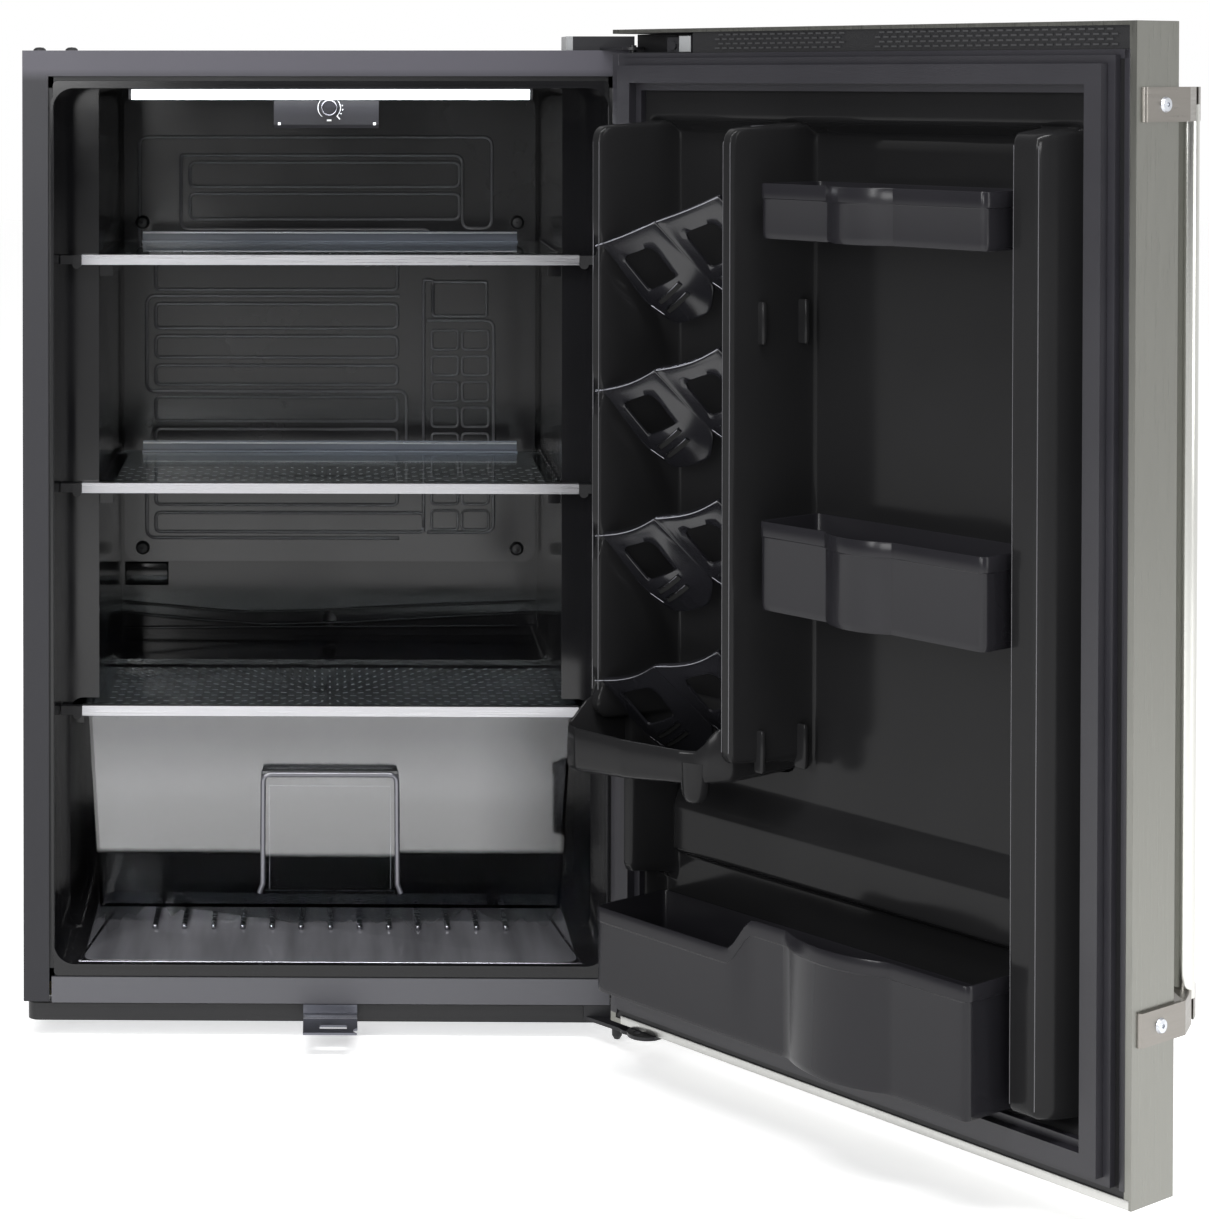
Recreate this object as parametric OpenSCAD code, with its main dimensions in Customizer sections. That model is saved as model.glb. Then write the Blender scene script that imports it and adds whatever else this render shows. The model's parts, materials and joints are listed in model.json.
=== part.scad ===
// Compact single-door refrigerator with an open, right-hinged door.
// Origin: floor, centre of the cabinet's width and depth. +Z up, the door side faces -Y.

/* [Cabinet] */
// Width of the cabinet
cab_w = 525; // [500:5:560]
// Depth of the cabinet without the door
cab_d = 470; // [440:5:520]
// Height of the cabinet's top face above the floor
cab_top = 845; // [835:1:870]
// Thickness of the painted steel sheet
sheet = 1; // [0.8:0.1:1.2]
// Width of the painted flange around the opening
flange_w = 22; // [18:1:24]
// Lower end of the painted side panels
wrap_bottom = 31; // [28:1:34]

/* [Liner] */
// Width of the opening between the liner's front lips
open_w = 473; // [466:1:474]
// Height of the liner's floor above the ground
floor_z = 63; // [60:1:66]
// Height of the opening's upper edge
open_top = 813; // [805:1:815]
// Thickness of the moulded liner
liner_t = 2; // [1.5:0.5:3]
// Half width of the roomy front zone that the door bins enter
front_half = 240; // [238:0.5:241]
// Depth of the front zone behind the opening
front_deep = 112; // [110:1:116]
// Half width between the thick side walls of the upper zone
upper_half = 206; // [204:1:208]
// Half width of the lower zone around the crisper
lower_half = 232; // [230:1:234]
// Depth of the lower zone, up to the compressor step
step_deep = 285; // [280:1:290]
// Height of the compressor step's top face
step_z = 268.5; // [266:0.5:270]
// Depth of the liner's back wall
back_deep = 409; // [400:1:412]
// How far a shelf rail stands out of the side wall
rail_out = 12; // [10:1:13]

/* [Shelves] */
// Height of the upper shelf's top face
shelf_1_z = 664; // [620:1:690]
// Height of the lower shelf's top face
shelf_2_z = 461; // [440:1:500]
// Height of the crisper cover's top face
cover_z = 262.5; // [262:0.5:263]
// Depth at which the shelf trims start
shelf_front = 102; // [100:1:104]
// Thickness of the shelf glass
glass_t = 4; // [3:0.5:4]
// Depth of the upper shelves' rear edge
shelf_rear = 340; // [320:1:350]
// Depth of the crisper cover's rear edge
cover_rear = 277; // [270:1:280]
// Height of the bright front trim
trim_h = 8.8; // [8:0.2:9]
// Half width of the bright front trim
trim_half = 220.5; // [215:0.5:221]

/* [Crisper] */
// Half width of the drawer at its rim
crisper_top_half = 216; // [210:1:216]
// Half width of the drawer at its floor
crisper_low_half = 206; // [200:1:206]
// Height of the drawer's rim
crisper_top = 253.5; // [245:0.5:253.5]
// Height of the drawer's underside
crisper_low = 78; // [76:1:84]
// Depth of the drawer's front face
crisper_front = 120; // [118:1:122]
// Depth of the drawer's rear face
crisper_rear = 279; // [260:1:279]
// Wall of the drawer
crisper_t = 2.5; // [2:0.5:3]

/* [Door] */
// Width of the door
door_w = 523; // [520:1:524]
// Thickness of the door's steel pan
door_t = 48; // [44:1:52]
// Height of the door's lower edge above the floor
door_low = 28; // [27:1:30]
// Height of the door's upper edge above the floor
door_high = 862; // [860:1:863]
// Gap between the shut door's inner face and the cabinet
door_gap = 14.2; // [14.2:0.1:15]
// Distance of the hinge pins from the door's side edge
pivot_u = 8; // [8:0.5:10]
// Distance of the hinge pins from the door's inner face
pivot_w = 15.6; // [15:0.1:17]
// Angle at which the door stands open
door_open = 128.2; // [0:0.1:138]
// Radius of the hinge pins
pin_r = 3; // [3:0.1:3]
// Running clearance between a pin and its bore
run = 0.05; // [0.02:0.01:0.08]

/* [Door storage] */
// How far the two upper bins reach from the door's inner face
bin_out = 53.5; // [50:0.5:55]
// Wall of the bins
bin_t = 2.2; // [2:0.1:3]
// Front of the upper bins' bulge beyond their face
bulge_out = 12; // [8:1:13]
// Spacing of the can racks
can_pitch = 118; // [112:1:119]
// Height of the lowest can rack's hinge-side tip
can_z0 = 331; // [329:1:333]
// Slope of a can rack's upper edge along the door
can_rise = 18; // [12:1:20]

/* [Handle] */
// Height of the handle bar's lower end
bar_low = 160; // [150:1:180]
// Height of the handle bar's upper end
bar_high = 803; // [780:1:810]
// Radius of the handle bar
bar_r = 8; // [7:0.5:9]
// Distance of the bar's axis in front of the door's outer face
bar_out = 35; // [34:0.5:40]
// Distance of the bar's axis from the door's free edge
bar_in = 17; // [15:0.5:20]

/* [Hidden] */
$fn = 48;
eps = 0.01;
front_y = -cab_d / 2;
half_w = cab_w / 2;
skin_t = 1;
rail_h = 13;
rib_h = 1;
hot_gap = 0.3;
door_right = half_w - 1;
pivot = [door_right - pivot_u, front_y - door_gap - pivot_w];
comp_front = step_deep + 40;
comp_top = step_z - 40;
upper_glass = upper_half - 1;
lower_glass = lower_half - 2.5;
hinge_z = cab_top;
hinge_t = 2.5;
hinge_h = 12;
recess_z = 841;
recess_deep = 43;
recess_top = 858.5;
recess_end = 92;
pocket_u0 = 41.5;
pocket_u1 = 482;
pocket_z0 = 70;
pocket_z1 = 790;
panel_w = -15;
dyke_z0 = 306;
gasket_t = 14;
gasket_u0 = 13.5;
gasket_u1 = 509.5;
gasket_z0 = 42;
gasket_z1 = 838;
gasket_w = 26.5;
bin_u0 = 216.5;
bin_u1 = 435;
lock_u = door_w / 2 - 2.5;
lock_z = 52;
bolt_r = 4;
bolt_d = 34.5;
bolt_w = bolt_d - door_gap;
strike_half = 23;
strike_z = 19.5;
cap_z = 839;
boss_r = 6.8;
drain_z = 284;
drain_y = front_y + back_deep + 28;
tray_z = 177;
gland_at = [150, comp_top - 18];

// ---------- helpers ----------

// Box given by its lowest and highest corners.
module span(a, b) {
    translate(a) cube(b - a);
}

// Box whose place along Y is given as depths behind the cabinet's front plane.
module deep_box(x0, x1, d0, d1, z0, z1) {
    span([x0, front_y + d0, z0], [x1, front_y + d1, z1]);
}

// Rectangle with all four corners rounded.
module round_rect(x0, x1, z0, z1, r) {
    translate([x0 + r, z0]) square([x1 - x0 - 2 * r, z1 - z0]);
    translate([x0, z0 + r]) square([x1 - x0, z1 - z0 - 2 * r]);
    for (x = [x0 + r, x1 - r]) {
        for (z = [z0 + r, z1 - r]) {
            translate([x, z]) circle(r = r);
        }
    }
}

// Rounded rectangle of the XZ plane, extruded from depth d0 to d1.
module deep_slab(x0, x1, d0, d1, z0, z1, r) {
    translate([0, front_y + d1, 0]) rotate([90, 0, 0]) linear_extrude(d1 - d0)
        round_rect(x0, x1, z0, z1, r);
}

// Bar along X from x0 to x1 with a YZ outline of [depth, height] points.
module x_profile(x0, x1, points) {
    translate([x0, front_y, 0]) rotate([90, 0, 90]) linear_extrude(x1 - x0) polygon(points);
}

// Upright cylinder between two heights.
module post(x, y, z0, z1, r) {
    translate([x, y, z0]) cylinder(r = r, h = z1 - z0);
}

// The door's own frame: u from the hinge edge, w inwards from the inner face, z up.
// Parts drawn shut are turned about the pins to the open angle.
module on_door() {
    translate([pivot[0], pivot[1], 0]) rotate([0, 0, door_open]) translate([-pivot[0], -pivot[1], 0])
        translate([door_right, front_y - door_gap, 0]) mirror([1, 0, 0]) children();
}

// Upright prism with a [u, w] outline.
module upright(z0, z1, points) {
    translate([0, 0, z0]) linear_extrude(z1 - z0) polygon(points);
}

// ---------- cabinet shell ----------

module side_wrap() {
    color("#26262a") difference() {
        deep_box(-half_w, half_w, 0, cab_d, wrap_bottom, cab_top);
        deep_box(-half_w + sheet, half_w - sheet, sheet, cab_d + 1, wrap_bottom - 1, cab_top - sheet);
        deep_box(-half_w + flange_w, half_w - flange_w, -1, 2 * sheet, wrap_bottom - 1, cab_top - flange_w);
        for (x = plug_x) {
            post(x, front_y + 20, cab_top - 2 * sheet, cab_top + 1, 2.5);
        }
        hinge_screw_holes(cab_top - 2 * sheet, 2.6);
    }
}

plug_x = [-half_w + 13, -half_w + 40.5];

module front_rail() {
    half = half_w - flange_w - 2;
    color("#2c2c31") x_profile(-half, half, [
        [0, wrap_bottom - 1], [0, floor_z - 11], [30, floor_z - 11], [30, floor_z - 12],
        [sheet, floor_z - 12], [sheet, wrap_bottom - 1]
    ]);
}

module base_strip() {
    half = half_w - 3;
    color("#0c0c0d") translate([0, front_y, 14]) linear_extrude(wrap_bottom - 16.5) difference() {
        union() {
            translate([-half + 10, 3]) square([2 * half - 20, 10]);
            for (side = [-1, 1]) {
                translate([side * (half - 10), 13]) circle(r = 10);
            }
            translate([-half, 13]) square([2 * half, 22]);
        }
        translate([-half + 3, 13]) square([2 * half - 6, 23]);
    }
}

module base_pan() {
    t = sheet;
    half = half_w - sheet - hot_gap;
    color("#8d9094") difference() {
        union() {
            x_profile(-half, half, [
                [14, wrap_bottom], [comp_front - t, wrap_bottom], [comp_front - t, comp_top - t],
                [cab_d - t, comp_top - t], [cab_d - t, comp_top], [comp_front - 2 * t, comp_top],
                [comp_front - 2 * t, wrap_bottom + t], [14, wrap_bottom + t]
            ]);
            deep_box(gland_at[0] - 14, gland_at[0] + 14, cab_d - 2 * t, cab_d - t, gland_at[1] - 14, comp_top - t + eps);
        }
        translate([gland_at[0], front_y + cab_d - 3, gland_at[1]]) rotate([-90, 0, 0]) cylinder(r = 6, h = 4);
        post(0, drain_y, comp_top - 3, comp_top + 1, 9.5);
    }
}

module back_panel() {
    half = half_w - sheet;
    color("#1d1d20") deep_box(-half, half, cab_d - sheet, cab_d, comp_top + hot_gap, cab_top - sheet);
}

// One serpentine pass of tubing, glued to the inner face of the right side panel.
coil_r = 2.4;
coil_x = half_w - sheet - coil_r - 0.1;
coil_pitch = 44;
coil_runs = 7;
coil_z = [300, 800];

module coil_solid(r) {
    for (i = [0:coil_runs - 1]) {
        post(coil_x, front_y + 100 + i * coil_pitch, coil_z[0], coil_z[1], r);
    }
    for (i = [0:coil_runs - 2]) {
        top = i % 2 == 0;
        translate([coil_x, front_y + 100 + (i + 0.5) * coil_pitch, top ? coil_z[1] : coil_z[0]])
            rotate([top ? 90 : -90, 0, 90]) rotate_extrude(angle = 180)
                translate([coil_pitch / 2, 0]) circle(r = r);
    }
}

module condenser_coil() {
    color("#b06a3a") coil_solid(coil_r);
}

// ---------- liner ----------

// The storage space, grown outwards by g on every side but the open front.
// The corner radii are scaled by k.
module cavity(g, k = 1) {
    half = open_w / 2;
    deep_slab(-half - g, half + g, g > 0 ? 0 : -1, 5, floor_z - g, open_top + g, 18 * k);
    deep_slab(-front_half - g, front_half + g, 4 - g / 2, front_deep + g, floor_z - g, open_top + 3 + g, 14 * k);
    deep_slab(-upper_half - g, upper_half + g, front_deep - 20, back_deep + g, step_z - g, open_top + 3 + g, 8 * k);
    deep_slab(-upper_half - g, upper_half + g, front_deep - 20, step_deep + g, step_z - 40, step_z + 40, 8 * k);
    deep_slab(-lower_half - g, lower_half + g, front_deep - 20, step_deep + g, floor_z - g, step_z + g, 12 * k);
}

// One shelf rail on the right-hand wall: a ledge with ribs on its top.
module rail(wall, top) {
    x0 = wall - rail_out;
    deep_box(x0, wall + eps, front_deep + 6, shelf_rear - 8, top - rib_h - rail_h, top - rib_h);
    for (i = [0:5]) {
        d = front_deep + 14 + i * 38;
        deep_box(x0 + 1, wall + eps, d, d + 4, top - rib_h - eps, top);
    }
}

module lower_rail(top) {
    deep_box(lower_half - 12, lower_half + eps, front_deep + 6, step_deep - 6, top - rail_h, top);
}

module liner() {
    lip = half_w - flange_w - 4;
    color("#101012") {
        difference() {
            union() {
                cavity(liner_t);
                deep_slab(-lip, lip, sheet, sheet + 2, floor_z - 10, cab_top - flange_w - 4, 4);
            }
            cavity(0);
            translate([0, front_y + back_deep - 1, drain_z]) rotate([-90, 0, 0]) cylinder(r = 7, h = 8);
        }
        for (x = [-150, 150]) {
            deep_box(x - 6, x + 6, 180, 275, floor_z - eps, crisper_low - hot_gap);
        }
        for (side = [0, 1]) {
            mirror([side, 0, 0]) {
                rail(upper_half, shelf_1_z - glass_t - 1);
                rail(upper_half, shelf_2_z - glass_t - 1);
                lower_rail(cover_z - glass_t - 1);
            }
        }
    }
}

// The foam reaches forward to the liner's flange and has a recess for the condenser tubing.
module foam_cabinet() {
    half = half_w - sheet - hot_gap;
    nose = 3 + hot_gap;
    color("#d8cf9c") difference() {
        union() {
            deep_box(-half, half, nose, cab_d - sheet - hot_gap, comp_top + hot_gap, cab_top - sheet - hot_gap);
            deep_box(-half, half, nose, comp_front - 2 * sheet - hot_gap, floor_z - 10.7, comp_top + 1);
            deep_box(-half, half, 33, comp_front - 2 * sheet - hot_gap, wrap_bottom + sheet + hot_gap, floor_z);
        }
        cavity(liner_t + hot_gap, 0.1);
        deep_box(coil_x - coil_r - 0.5, half + 1, 88, 378, 260, 834);
        translate([0, front_y + back_deep, drain_z]) rotate([-90, 0, 0]) cylinder(r = 9.5, h = 28);
        post(0, drain_y, comp_top - 1, drain_z + 9.5, 9.5);
        hinge_screw_holes(cab_top - 8, 2.7);
    }
}

// ---------- cooling and controls inside ----------

evap_d = back_deep - 8;
evap_z = [343, 804];
evap_half = upper_half - 3;
evap_screw = [185, 356, 678.6];

module evaporator() {
    color("#1a1a1d") difference() {
        deep_slab(-evap_half, evap_half, evap_d, evap_d + 2, evap_z[0], evap_z[1], 12);
        for (x = [-evap_screw[0], evap_screw[0]]) {
            for (z = [evap_screw[1], evap_screw[2]]) {
                translate([x, front_y + evap_d - 1, z]) rotate([-90, 0, 0]) cylinder(r = 2.6, h = 4);
            }
        }
    }
}

module evaporator_screws() {
    color("#141416") for (x = [-evap_screw[0], evap_screw[0]]) {
        for (z = [evap_screw[1], evap_screw[2]]) {
            translate([x, front_y + evap_d, z]) rotate([90, 0, 0]) rotate_extrude() polygon([
                [0, -8], [2.4, -8], [2.4, 0], [7, 0], [6.4, 3], [4.5, 5], [0, 5.6]
            ]);
        }
    }
}

module sensor_clip() {
    color("#0f0f10") {
        translate([30, front_y + evap_d - 3, 641]) rotate([0, 90, 0]) cylinder(r = 2.4, h = 122);
        for (x = [36, 46, 56, 118, 136]) {
            deep_box(x, x + 5, evap_d - 6.5, evap_d - 0.1, 635, 647);
        }
    }
}

light_half = 171;
light_d = [28, 50];

module light_housing() {
    color("#17171a") difference() {
        deep_box(-light_half - 3, light_half + 3, light_d[0] + 4, light_d[1], 803, open_top + 3 - 0.2);
        deep_box(-light_half - 0.5, light_half + 0.5, light_d[0], light_d[1] - 3, 801, 811.5);
    }
}

module light_lens() {
    color("#f4f6fa") x_profile(-light_half, light_half, [
        [light_d[0], 806], [light_d[0] + 4, 803], [light_d[1] - 3.2, 803], [light_d[1] - 3.2, 811.3],
        [light_d[0] + 4.2, 811.3], [light_d[0], 811]
    ]);
}

thermo = [-49, 42, 51, 112];
knob_at = [-1, 795.7];
knob_r = 7;

module thermostat_housing() {
    z0 = 778;
    z1 = open_top + 3 - 0.2;
    color("#141417") difference() {
        x_profile(thermo[0], thermo[1], [
            [thermo[2], z0 + 3], [thermo[2] + 3, z0], [thermo[3], z0], [thermo[3], z1], [thermo[2], z1]
        ]);
        deep_box(thermo[0] + 2, thermo[1] - 2, thermo[2] + 2.5, thermo[3] + 1, z0 + 2.5, z1 - 2);
        translate([knob_at[0], front_y + thermo[2] + 5, knob_at[1]]) rotate([90, 0, 0])
            cylinder(r = 5, h = 12);
    }
}

module thermostat_body() {
    color("#b9bcc0") {
        deep_box(knob_at[0] - 16, knob_at[0] + 16, thermo[2] + 4, thermo[2] + 30, 784, 808);
        translate([knob_at[0], front_y + thermo[2] + 5, knob_at[1]]) rotate([90, 0, 0])
            cylinder(r = pin_r, h = 11);
    }
}

module thermostat_knob() {
    color("#1b1b1f") translate([knob_at[0], front_y + thermo[2] - 0.5, knob_at[1]])
        rotate([90, 0, 0]) difference() {
        union() {
            cylinder(r = knob_r, h = 7);
            translate([0, 0, 7 - eps]) cylinder(r = 5.2, h = 1.5);
        }
        translate([0, 0, -1]) cylinder(r = pin_r + run, h = 6.8);
    }
}

// ---------- shelves ----------

// Glass plate under its front trim's upper face.
module glass_plate(half, top, rear) {
    deep_box(-half, half, shelf_front + 2, rear, top - glass_t - 0.6, top - 0.6);
}

// Bright front trim with a slot that grips the glass.
module front_trim(top) {
    color("#c9cbce") difference() {
        deep_box(-trim_half, trim_half, shelf_front, shelf_front + 9, top - trim_h + 0.6, top + 0.6);
        deep_box(-trim_half - 1, trim_half + 1, shelf_front + 2, shelf_front + 10, top - glass_t - 0.6, top - 0.6);
    }
}

// Black end caps beside the trim, each with a small stop below and room for a glass plate.
module end_caps(top, glass_half) {
    outer = front_half - 0.6;
    color("#151518") for (side = [0, 1]) {
        mirror([side, 0, 0]) difference() {
            union() {
                deep_box(trim_half, outer, shelf_front + 0.5, shelf_front + 8, top - trim_h + 1, top);
                translate([trim_half + 4.5, front_y + shelf_front + 8, top - trim_h + 1]) rotate([90, 0, 0])
                    cylinder(r = 4, h = 7);
            }
            deep_box(0, glass_half + 0.1, shelf_front + 1.9, shelf_front + 9, top - glass_t - 0.7, top - 0.5);
        }
    }
}

// Upright lip along the glass's rear edge.
module rear_lip(top) {
    color("#3a3b42") difference() {
        deep_box(-upper_half + 25, upper_half - 25, shelf_rear - 12, shelf_rear + 3, top - glass_t - 2, top + 9);
        deep_box(-upper_half, upper_half, shelf_rear - 13, shelf_rear, top - glass_t - 0.6, top - 0.6);
        deep_box(-upper_half, upper_half, shelf_rear - 13, shelf_rear + 0.5, top + 0.8, top + 10);
    }
}

module shelf_1_glass() {
    color("#bfd4d8", 0.35) glass_plate(upper_glass, shelf_1_z, shelf_rear);
}

module shelf_1_trim() {
    front_trim(shelf_1_z);
}

module shelf_1_caps() {
    end_caps(shelf_1_z, upper_glass);
}

module shelf_1_lip() {
    rear_lip(shelf_1_z);
}

module shelf_2_glass() {
    color("#bfd4d8", 0.35) glass_plate(upper_glass, shelf_2_z, shelf_rear);
}

module shelf_2_trim() {
    front_trim(shelf_2_z);
}

module shelf_2_caps() {
    end_caps(shelf_2_z, upper_glass);
}

module shelf_2_lip() {
    rear_lip(shelf_2_z);
}

module cover_glass() {
    color("#bfd4d8", 0.35) glass_plate(lower_glass, cover_z, cover_rear);
}

module cover_trim() {
    front_trim(cover_z);
}

module cover_caps() {
    end_caps(cover_z, lower_glass);
}

// ---------- crisper ----------

// Tapered block with the drawer's outline, drawn in by t on the sides and up by t.
module crisper_form(t, top) {
    f = front_y + crisper_front + t;
    r = front_y + crisper_rear - t;
    taper = crisper_top_half - crisper_low_half;
    hull() {
        span([-crisper_low_half + t, f + 2, crisper_low + t], [crisper_low_half - t, r - 6, crisper_low + t + 1]);
        span([-crisper_top_half + t, f, crisper_top - 1], [crisper_top_half - t, r, top]);
    }
}

module crisper_drawer() {
    grip_half = 60;
    color("#dfe6ea", 0.4) difference() {
        union() {
            crisper_form(0, crisper_top);
            deep_box(-grip_half, grip_half, crisper_front - 12, crisper_front + 4, 94, 204);
        }
        crisper_form(crisper_t, crisper_top + 1);
        deep_box(-grip_half + 2.5, grip_half - 2.5, crisper_front - 9.5, crisper_front + 8, 93, 201.5);
    }
}

// ---------- machine compartment ----------

comp_y = front_y + 398;
comp_x = -60;
comp_floor = 36;

module compressor_plate() {
    color("#2a2a2d") {
        deep_box(-half_w + 2, half_w - 2, comp_front + 4, cab_d - 2, wrap_bottom, wrap_bottom + 2);
        for (x = [-62, 62]) {
            for (y = [-42, 42]) {
                post(comp_x + x, comp_y + y, wrap_bottom + 2 - eps, comp_floor + 16, 3);
            }
        }
    }
}

module compressor_grommets() {
    color("#101010") for (x = [-62, 62]) {
        for (y = [-42, 42]) {
            difference() {
                post(comp_x + x, comp_y + y, wrap_bottom + 2, comp_floor + 9, 9);
                post(comp_x + x, comp_y + y, wrap_bottom, comp_floor + 12, pin_r + run);
            }
        }
    }
}

module compressor() {
    body_r = 58;
    z0 = comp_floor + 14;
    color("#131315") difference() {
        union() {
            translate([comp_x, comp_y, z0]) rotate_extrude($fn = 64) polygon([
                [0, 0], [48, 0], [56, 8], [body_r, 20], [body_r, 70], [60.5, 71], [60.5, 75], [body_r, 76],
                [54, 100], [40, 116], [20, 124], [0, 126]
            ]);
            translate([comp_x, comp_y, comp_floor + 9]) linear_extrude(5.5) round_rect(-74, 74, -52, 52, 10);
        }
        for (x = [-62, 62]) {
            for (y = [-42, 42]) {
                post(comp_x + x, comp_y + y, comp_floor, comp_floor + 20, 5);
            }
        }
    }
}

module terminal_cover() {
    color("#0e0e0f") difference() {
        span([comp_x + 57, comp_y - 26, 66], [comp_x + 92, comp_y + 26, 128]);
        post(comp_x, comp_y, 40, 140, 60.8);
    }
}

module filter_drier() {
    color("#a8623a") translate([150, front_y + 350, 120]) rotate_extrude() polygon([
        [0, -60], [2.5, -60], [2.5, -38], [9, -30], [9, 30], [2.5, 38], [2.5, 60], [0, 60]
    ]);
}

module drain_tube() {
    color("#cfd2d4") difference() {
        union() {
            translate([0, front_y + back_deep + liner_t, drain_z]) rotate([-90, 0, 0]) cylinder(r = 9, h = 28 - liner_t);
            post(0, drain_y, tray_z + 16, drain_z, 9);
            translate([0, drain_y, drain_z]) sphere(r = 9);
        }
        translate([0, front_y + back_deep, drain_z]) rotate([-90, 0, 0]) cylinder(r = 7, h = 28);
        post(0, drain_y, tray_z + 15, drain_z, 7);
        translate([0, drain_y, drain_z]) sphere(r = 7);
    }
}

module drip_tray() {
    x0 = comp_x - 50;
    x1 = comp_x + 90;
    color("#1b1b1e") difference() {
        deep_box(x0, x1, 352, 458, tray_z, tray_z + 24);
        deep_box(x0 + 2, x1 - 2, 354, 456, tray_z + 2, tray_z + 25);
    }
}

module cord_gland() {
    color("#0d0d0e") translate([gland_at[0], front_y + cab_d, gland_at[1]]) rotate([-90, 0, 0]) difference() {
        union() {
            translate([0, 0, -7]) cylinder(r = 5.8, h = 7);
            translate([0, 0, -sheet]) cylinder(r = 9, h = 3);
        }
        translate([0, 0, -8]) cylinder(r = 3.6, h = 11);
    }
}

foot_x = half_w - 20;
foot_y = front_y + 74;

// Front feet with screwed stems, set back behind the base strip, and plain rear feet.
module feet() {
    color("#161617") for (x = [-foot_x, foot_x]) {
        translate([x, foot_y, 0]) rotate_extrude() polygon([
            [0, 0], [13, 0], [14, 1.5], [14, 7], [5, 9], [5, wrap_bottom], [0, wrap_bottom]
        ]);
        translate([x, front_y + cab_d - 30, 0]) rotate_extrude() polygon([
            [0, 0], [12, 0], [14, 2], [14, 20], [11, wrap_bottom], [0, wrap_bottom]
        ]);
    }
}

module top_plugs() {
    color("#0a0a0b") for (x = plug_x) {
        translate([x, front_y + 20, cab_top]) rotate_extrude() polygon([
            [0, -1.2], [2.3, -1.2], [2.3, 0], [5.5, 0], [5.2, 1.2], [3.5, 2.6], [0, 3]
        ]);
    }
}

// Lock strike: a tongue under the front edge, with a slot that the bolt drops into.
module strike_plate() {
    top = strike_z + 2;
    color("#5a5c62") difference() {
        union() {
            deep_box(-strike_half, strike_half, -50, 0.2, strike_z, top);
            deep_box(-strike_half, strike_half, -1.8, 0.2, top - eps, wrap_bottom - 1.2);
            deep_box(-strike_half, strike_half, 0.2 - eps, 12, wrap_bottom - 2.2, wrap_bottom - 1.2);
        }
        deep_box(-9, 14, -bolt_d - bolt_r - 0.6, -bolt_d + bolt_r + 0.6, strike_z - 1, top + 1);
        translate([strike_half + 3, front_y - 44, strike_z - 1]) cylinder(r = 7, h = 4);
    }
}

// ---------- hinges ----------

module top_hinge() {
    arm_r = 9;
    z0 = hinge_z;
    color("#1a1b1e") {
        difference() {
            union() {
                deep_box(206, half_w - 2, 3, 58, z0, z0 + hinge_t);
                translate([0, 0, z0]) linear_extrude(hinge_t) {
                    translate([pivot[0], pivot[1]]) circle(r = arm_r);
                    polygon([
                        [pivot[0] - arm_r, pivot[1]], [pivot[0] + arm_r - 1, pivot[1]],
                        [half_w - 2, front_y + 4], [half_w - 34, front_y + 4]
                    ]);
                }
                deep_box(206, half_w - 4, 4, 6.5, z0, z0 + hinge_h);
            }
            hinge_screw_holes(z0 - 1, 2.6);
        }
        post(pivot[0], pivot[1], z0 - 14, z0 + hinge_t + 1.5, pin_r);
    }
}

hinge_screw_x = [218, 236, 252];

module top_hinge_cap() {
    color("#8b8d91") deep_box(200.5, 206, 3, 56, hinge_z, hinge_z + hinge_h);
}

// Holes for the top hinge's screws, from height z0 up through the plate.
module hinge_screw_holes(z0, r) {
    for (x = hinge_screw_x) {
        post(x, front_y + 36, z0, hinge_z + hinge_t + 1, r);
    }
}

module hinge_screws() {
    top = hinge_z + hinge_t;
    color("#b8babd") for (x = hinge_screw_x) {
        translate([x, front_y + 36, top]) rotate_extrude() polygon([
            [0, -9], [2.4, -9], [2.4, 0], [4.8, 0], [4, 2.2], [0, 2.8]
        ]);
    }
}

module bottom_hinge() {
    z0 = 17;
    z1 = wrap_bottom - 1.5;
    arm_r = 9;
    color("#1a1b1e") {
        translate([0, 0, z0]) linear_extrude(3) {
            translate(pivot) circle(r = arm_r);
            polygon([
                [pivot[0] - arm_r, pivot[1]], [pivot[0] + arm_r, pivot[1]],
                [half_w - 8, front_y + 3], [half_w - 46, front_y + 3]
            ]);
        }
        deep_box(half_w - 46, half_w - 8, 0.5, 3, z0, z1);
        post(pivot[0], pivot[1], z0 + 1, door_low + 9, pin_r);
        translate([half_w - 18, front_y - 4, z0]) rotate_extrude() polygon([
            [0, 0.5], [6.5, 0.5], [4.6, -5], [4.3, -11], [2.4, -14.2], [0, -15]
        ]);
    }
}

// ---------- door panel ----------

module door_skin() {
    t = skin_t;
    lip = 6;
    color("#b9b7b2") on_door() difference() {
        span([0, -door_t, door_low], [door_w, 0, door_high]);
        span([t, -door_t + t, door_low + t], [door_w - t, -t, door_high - t]);
        span([lip, -2 * t, door_low + 4], [door_w - lip, 1, door_high - 3]);
        span([-1, -recess_deep, recess_z], [recess_end, 1, recess_top]);
        translate([pivot_u, -pivot_w, door_low - 1]) cylinder(r = 6, h = 3);
        translate([lock_u, -bolt_w, door_low - 1]) cylinder(r = bolt_r + 1, h = 3);
        translate([lock_u, -door_t - 1, lock_z]) rotate([-90, 0, 0]) cylinder(r = 7.3, h = 3);
    }
}

module door_cap_top() {
    t = skin_t + 0.1;
    color("#131316") on_door() difference() {
        union() {
            span([t, -door_t + t, cap_z], [door_w - t, -t, door_high - t]);
            translate([pivot_u, -pivot_w, cap_z - 12]) cylinder(r = boss_r, h = 13);
        }
        span([-1, -recess_deep, recess_z], [recess_end, 1, recess_top]);
        translate([pivot_u, -pivot_w, cap_z - 10]) cylinder(r = pin_r + run, h = 20);
    }
}

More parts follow.
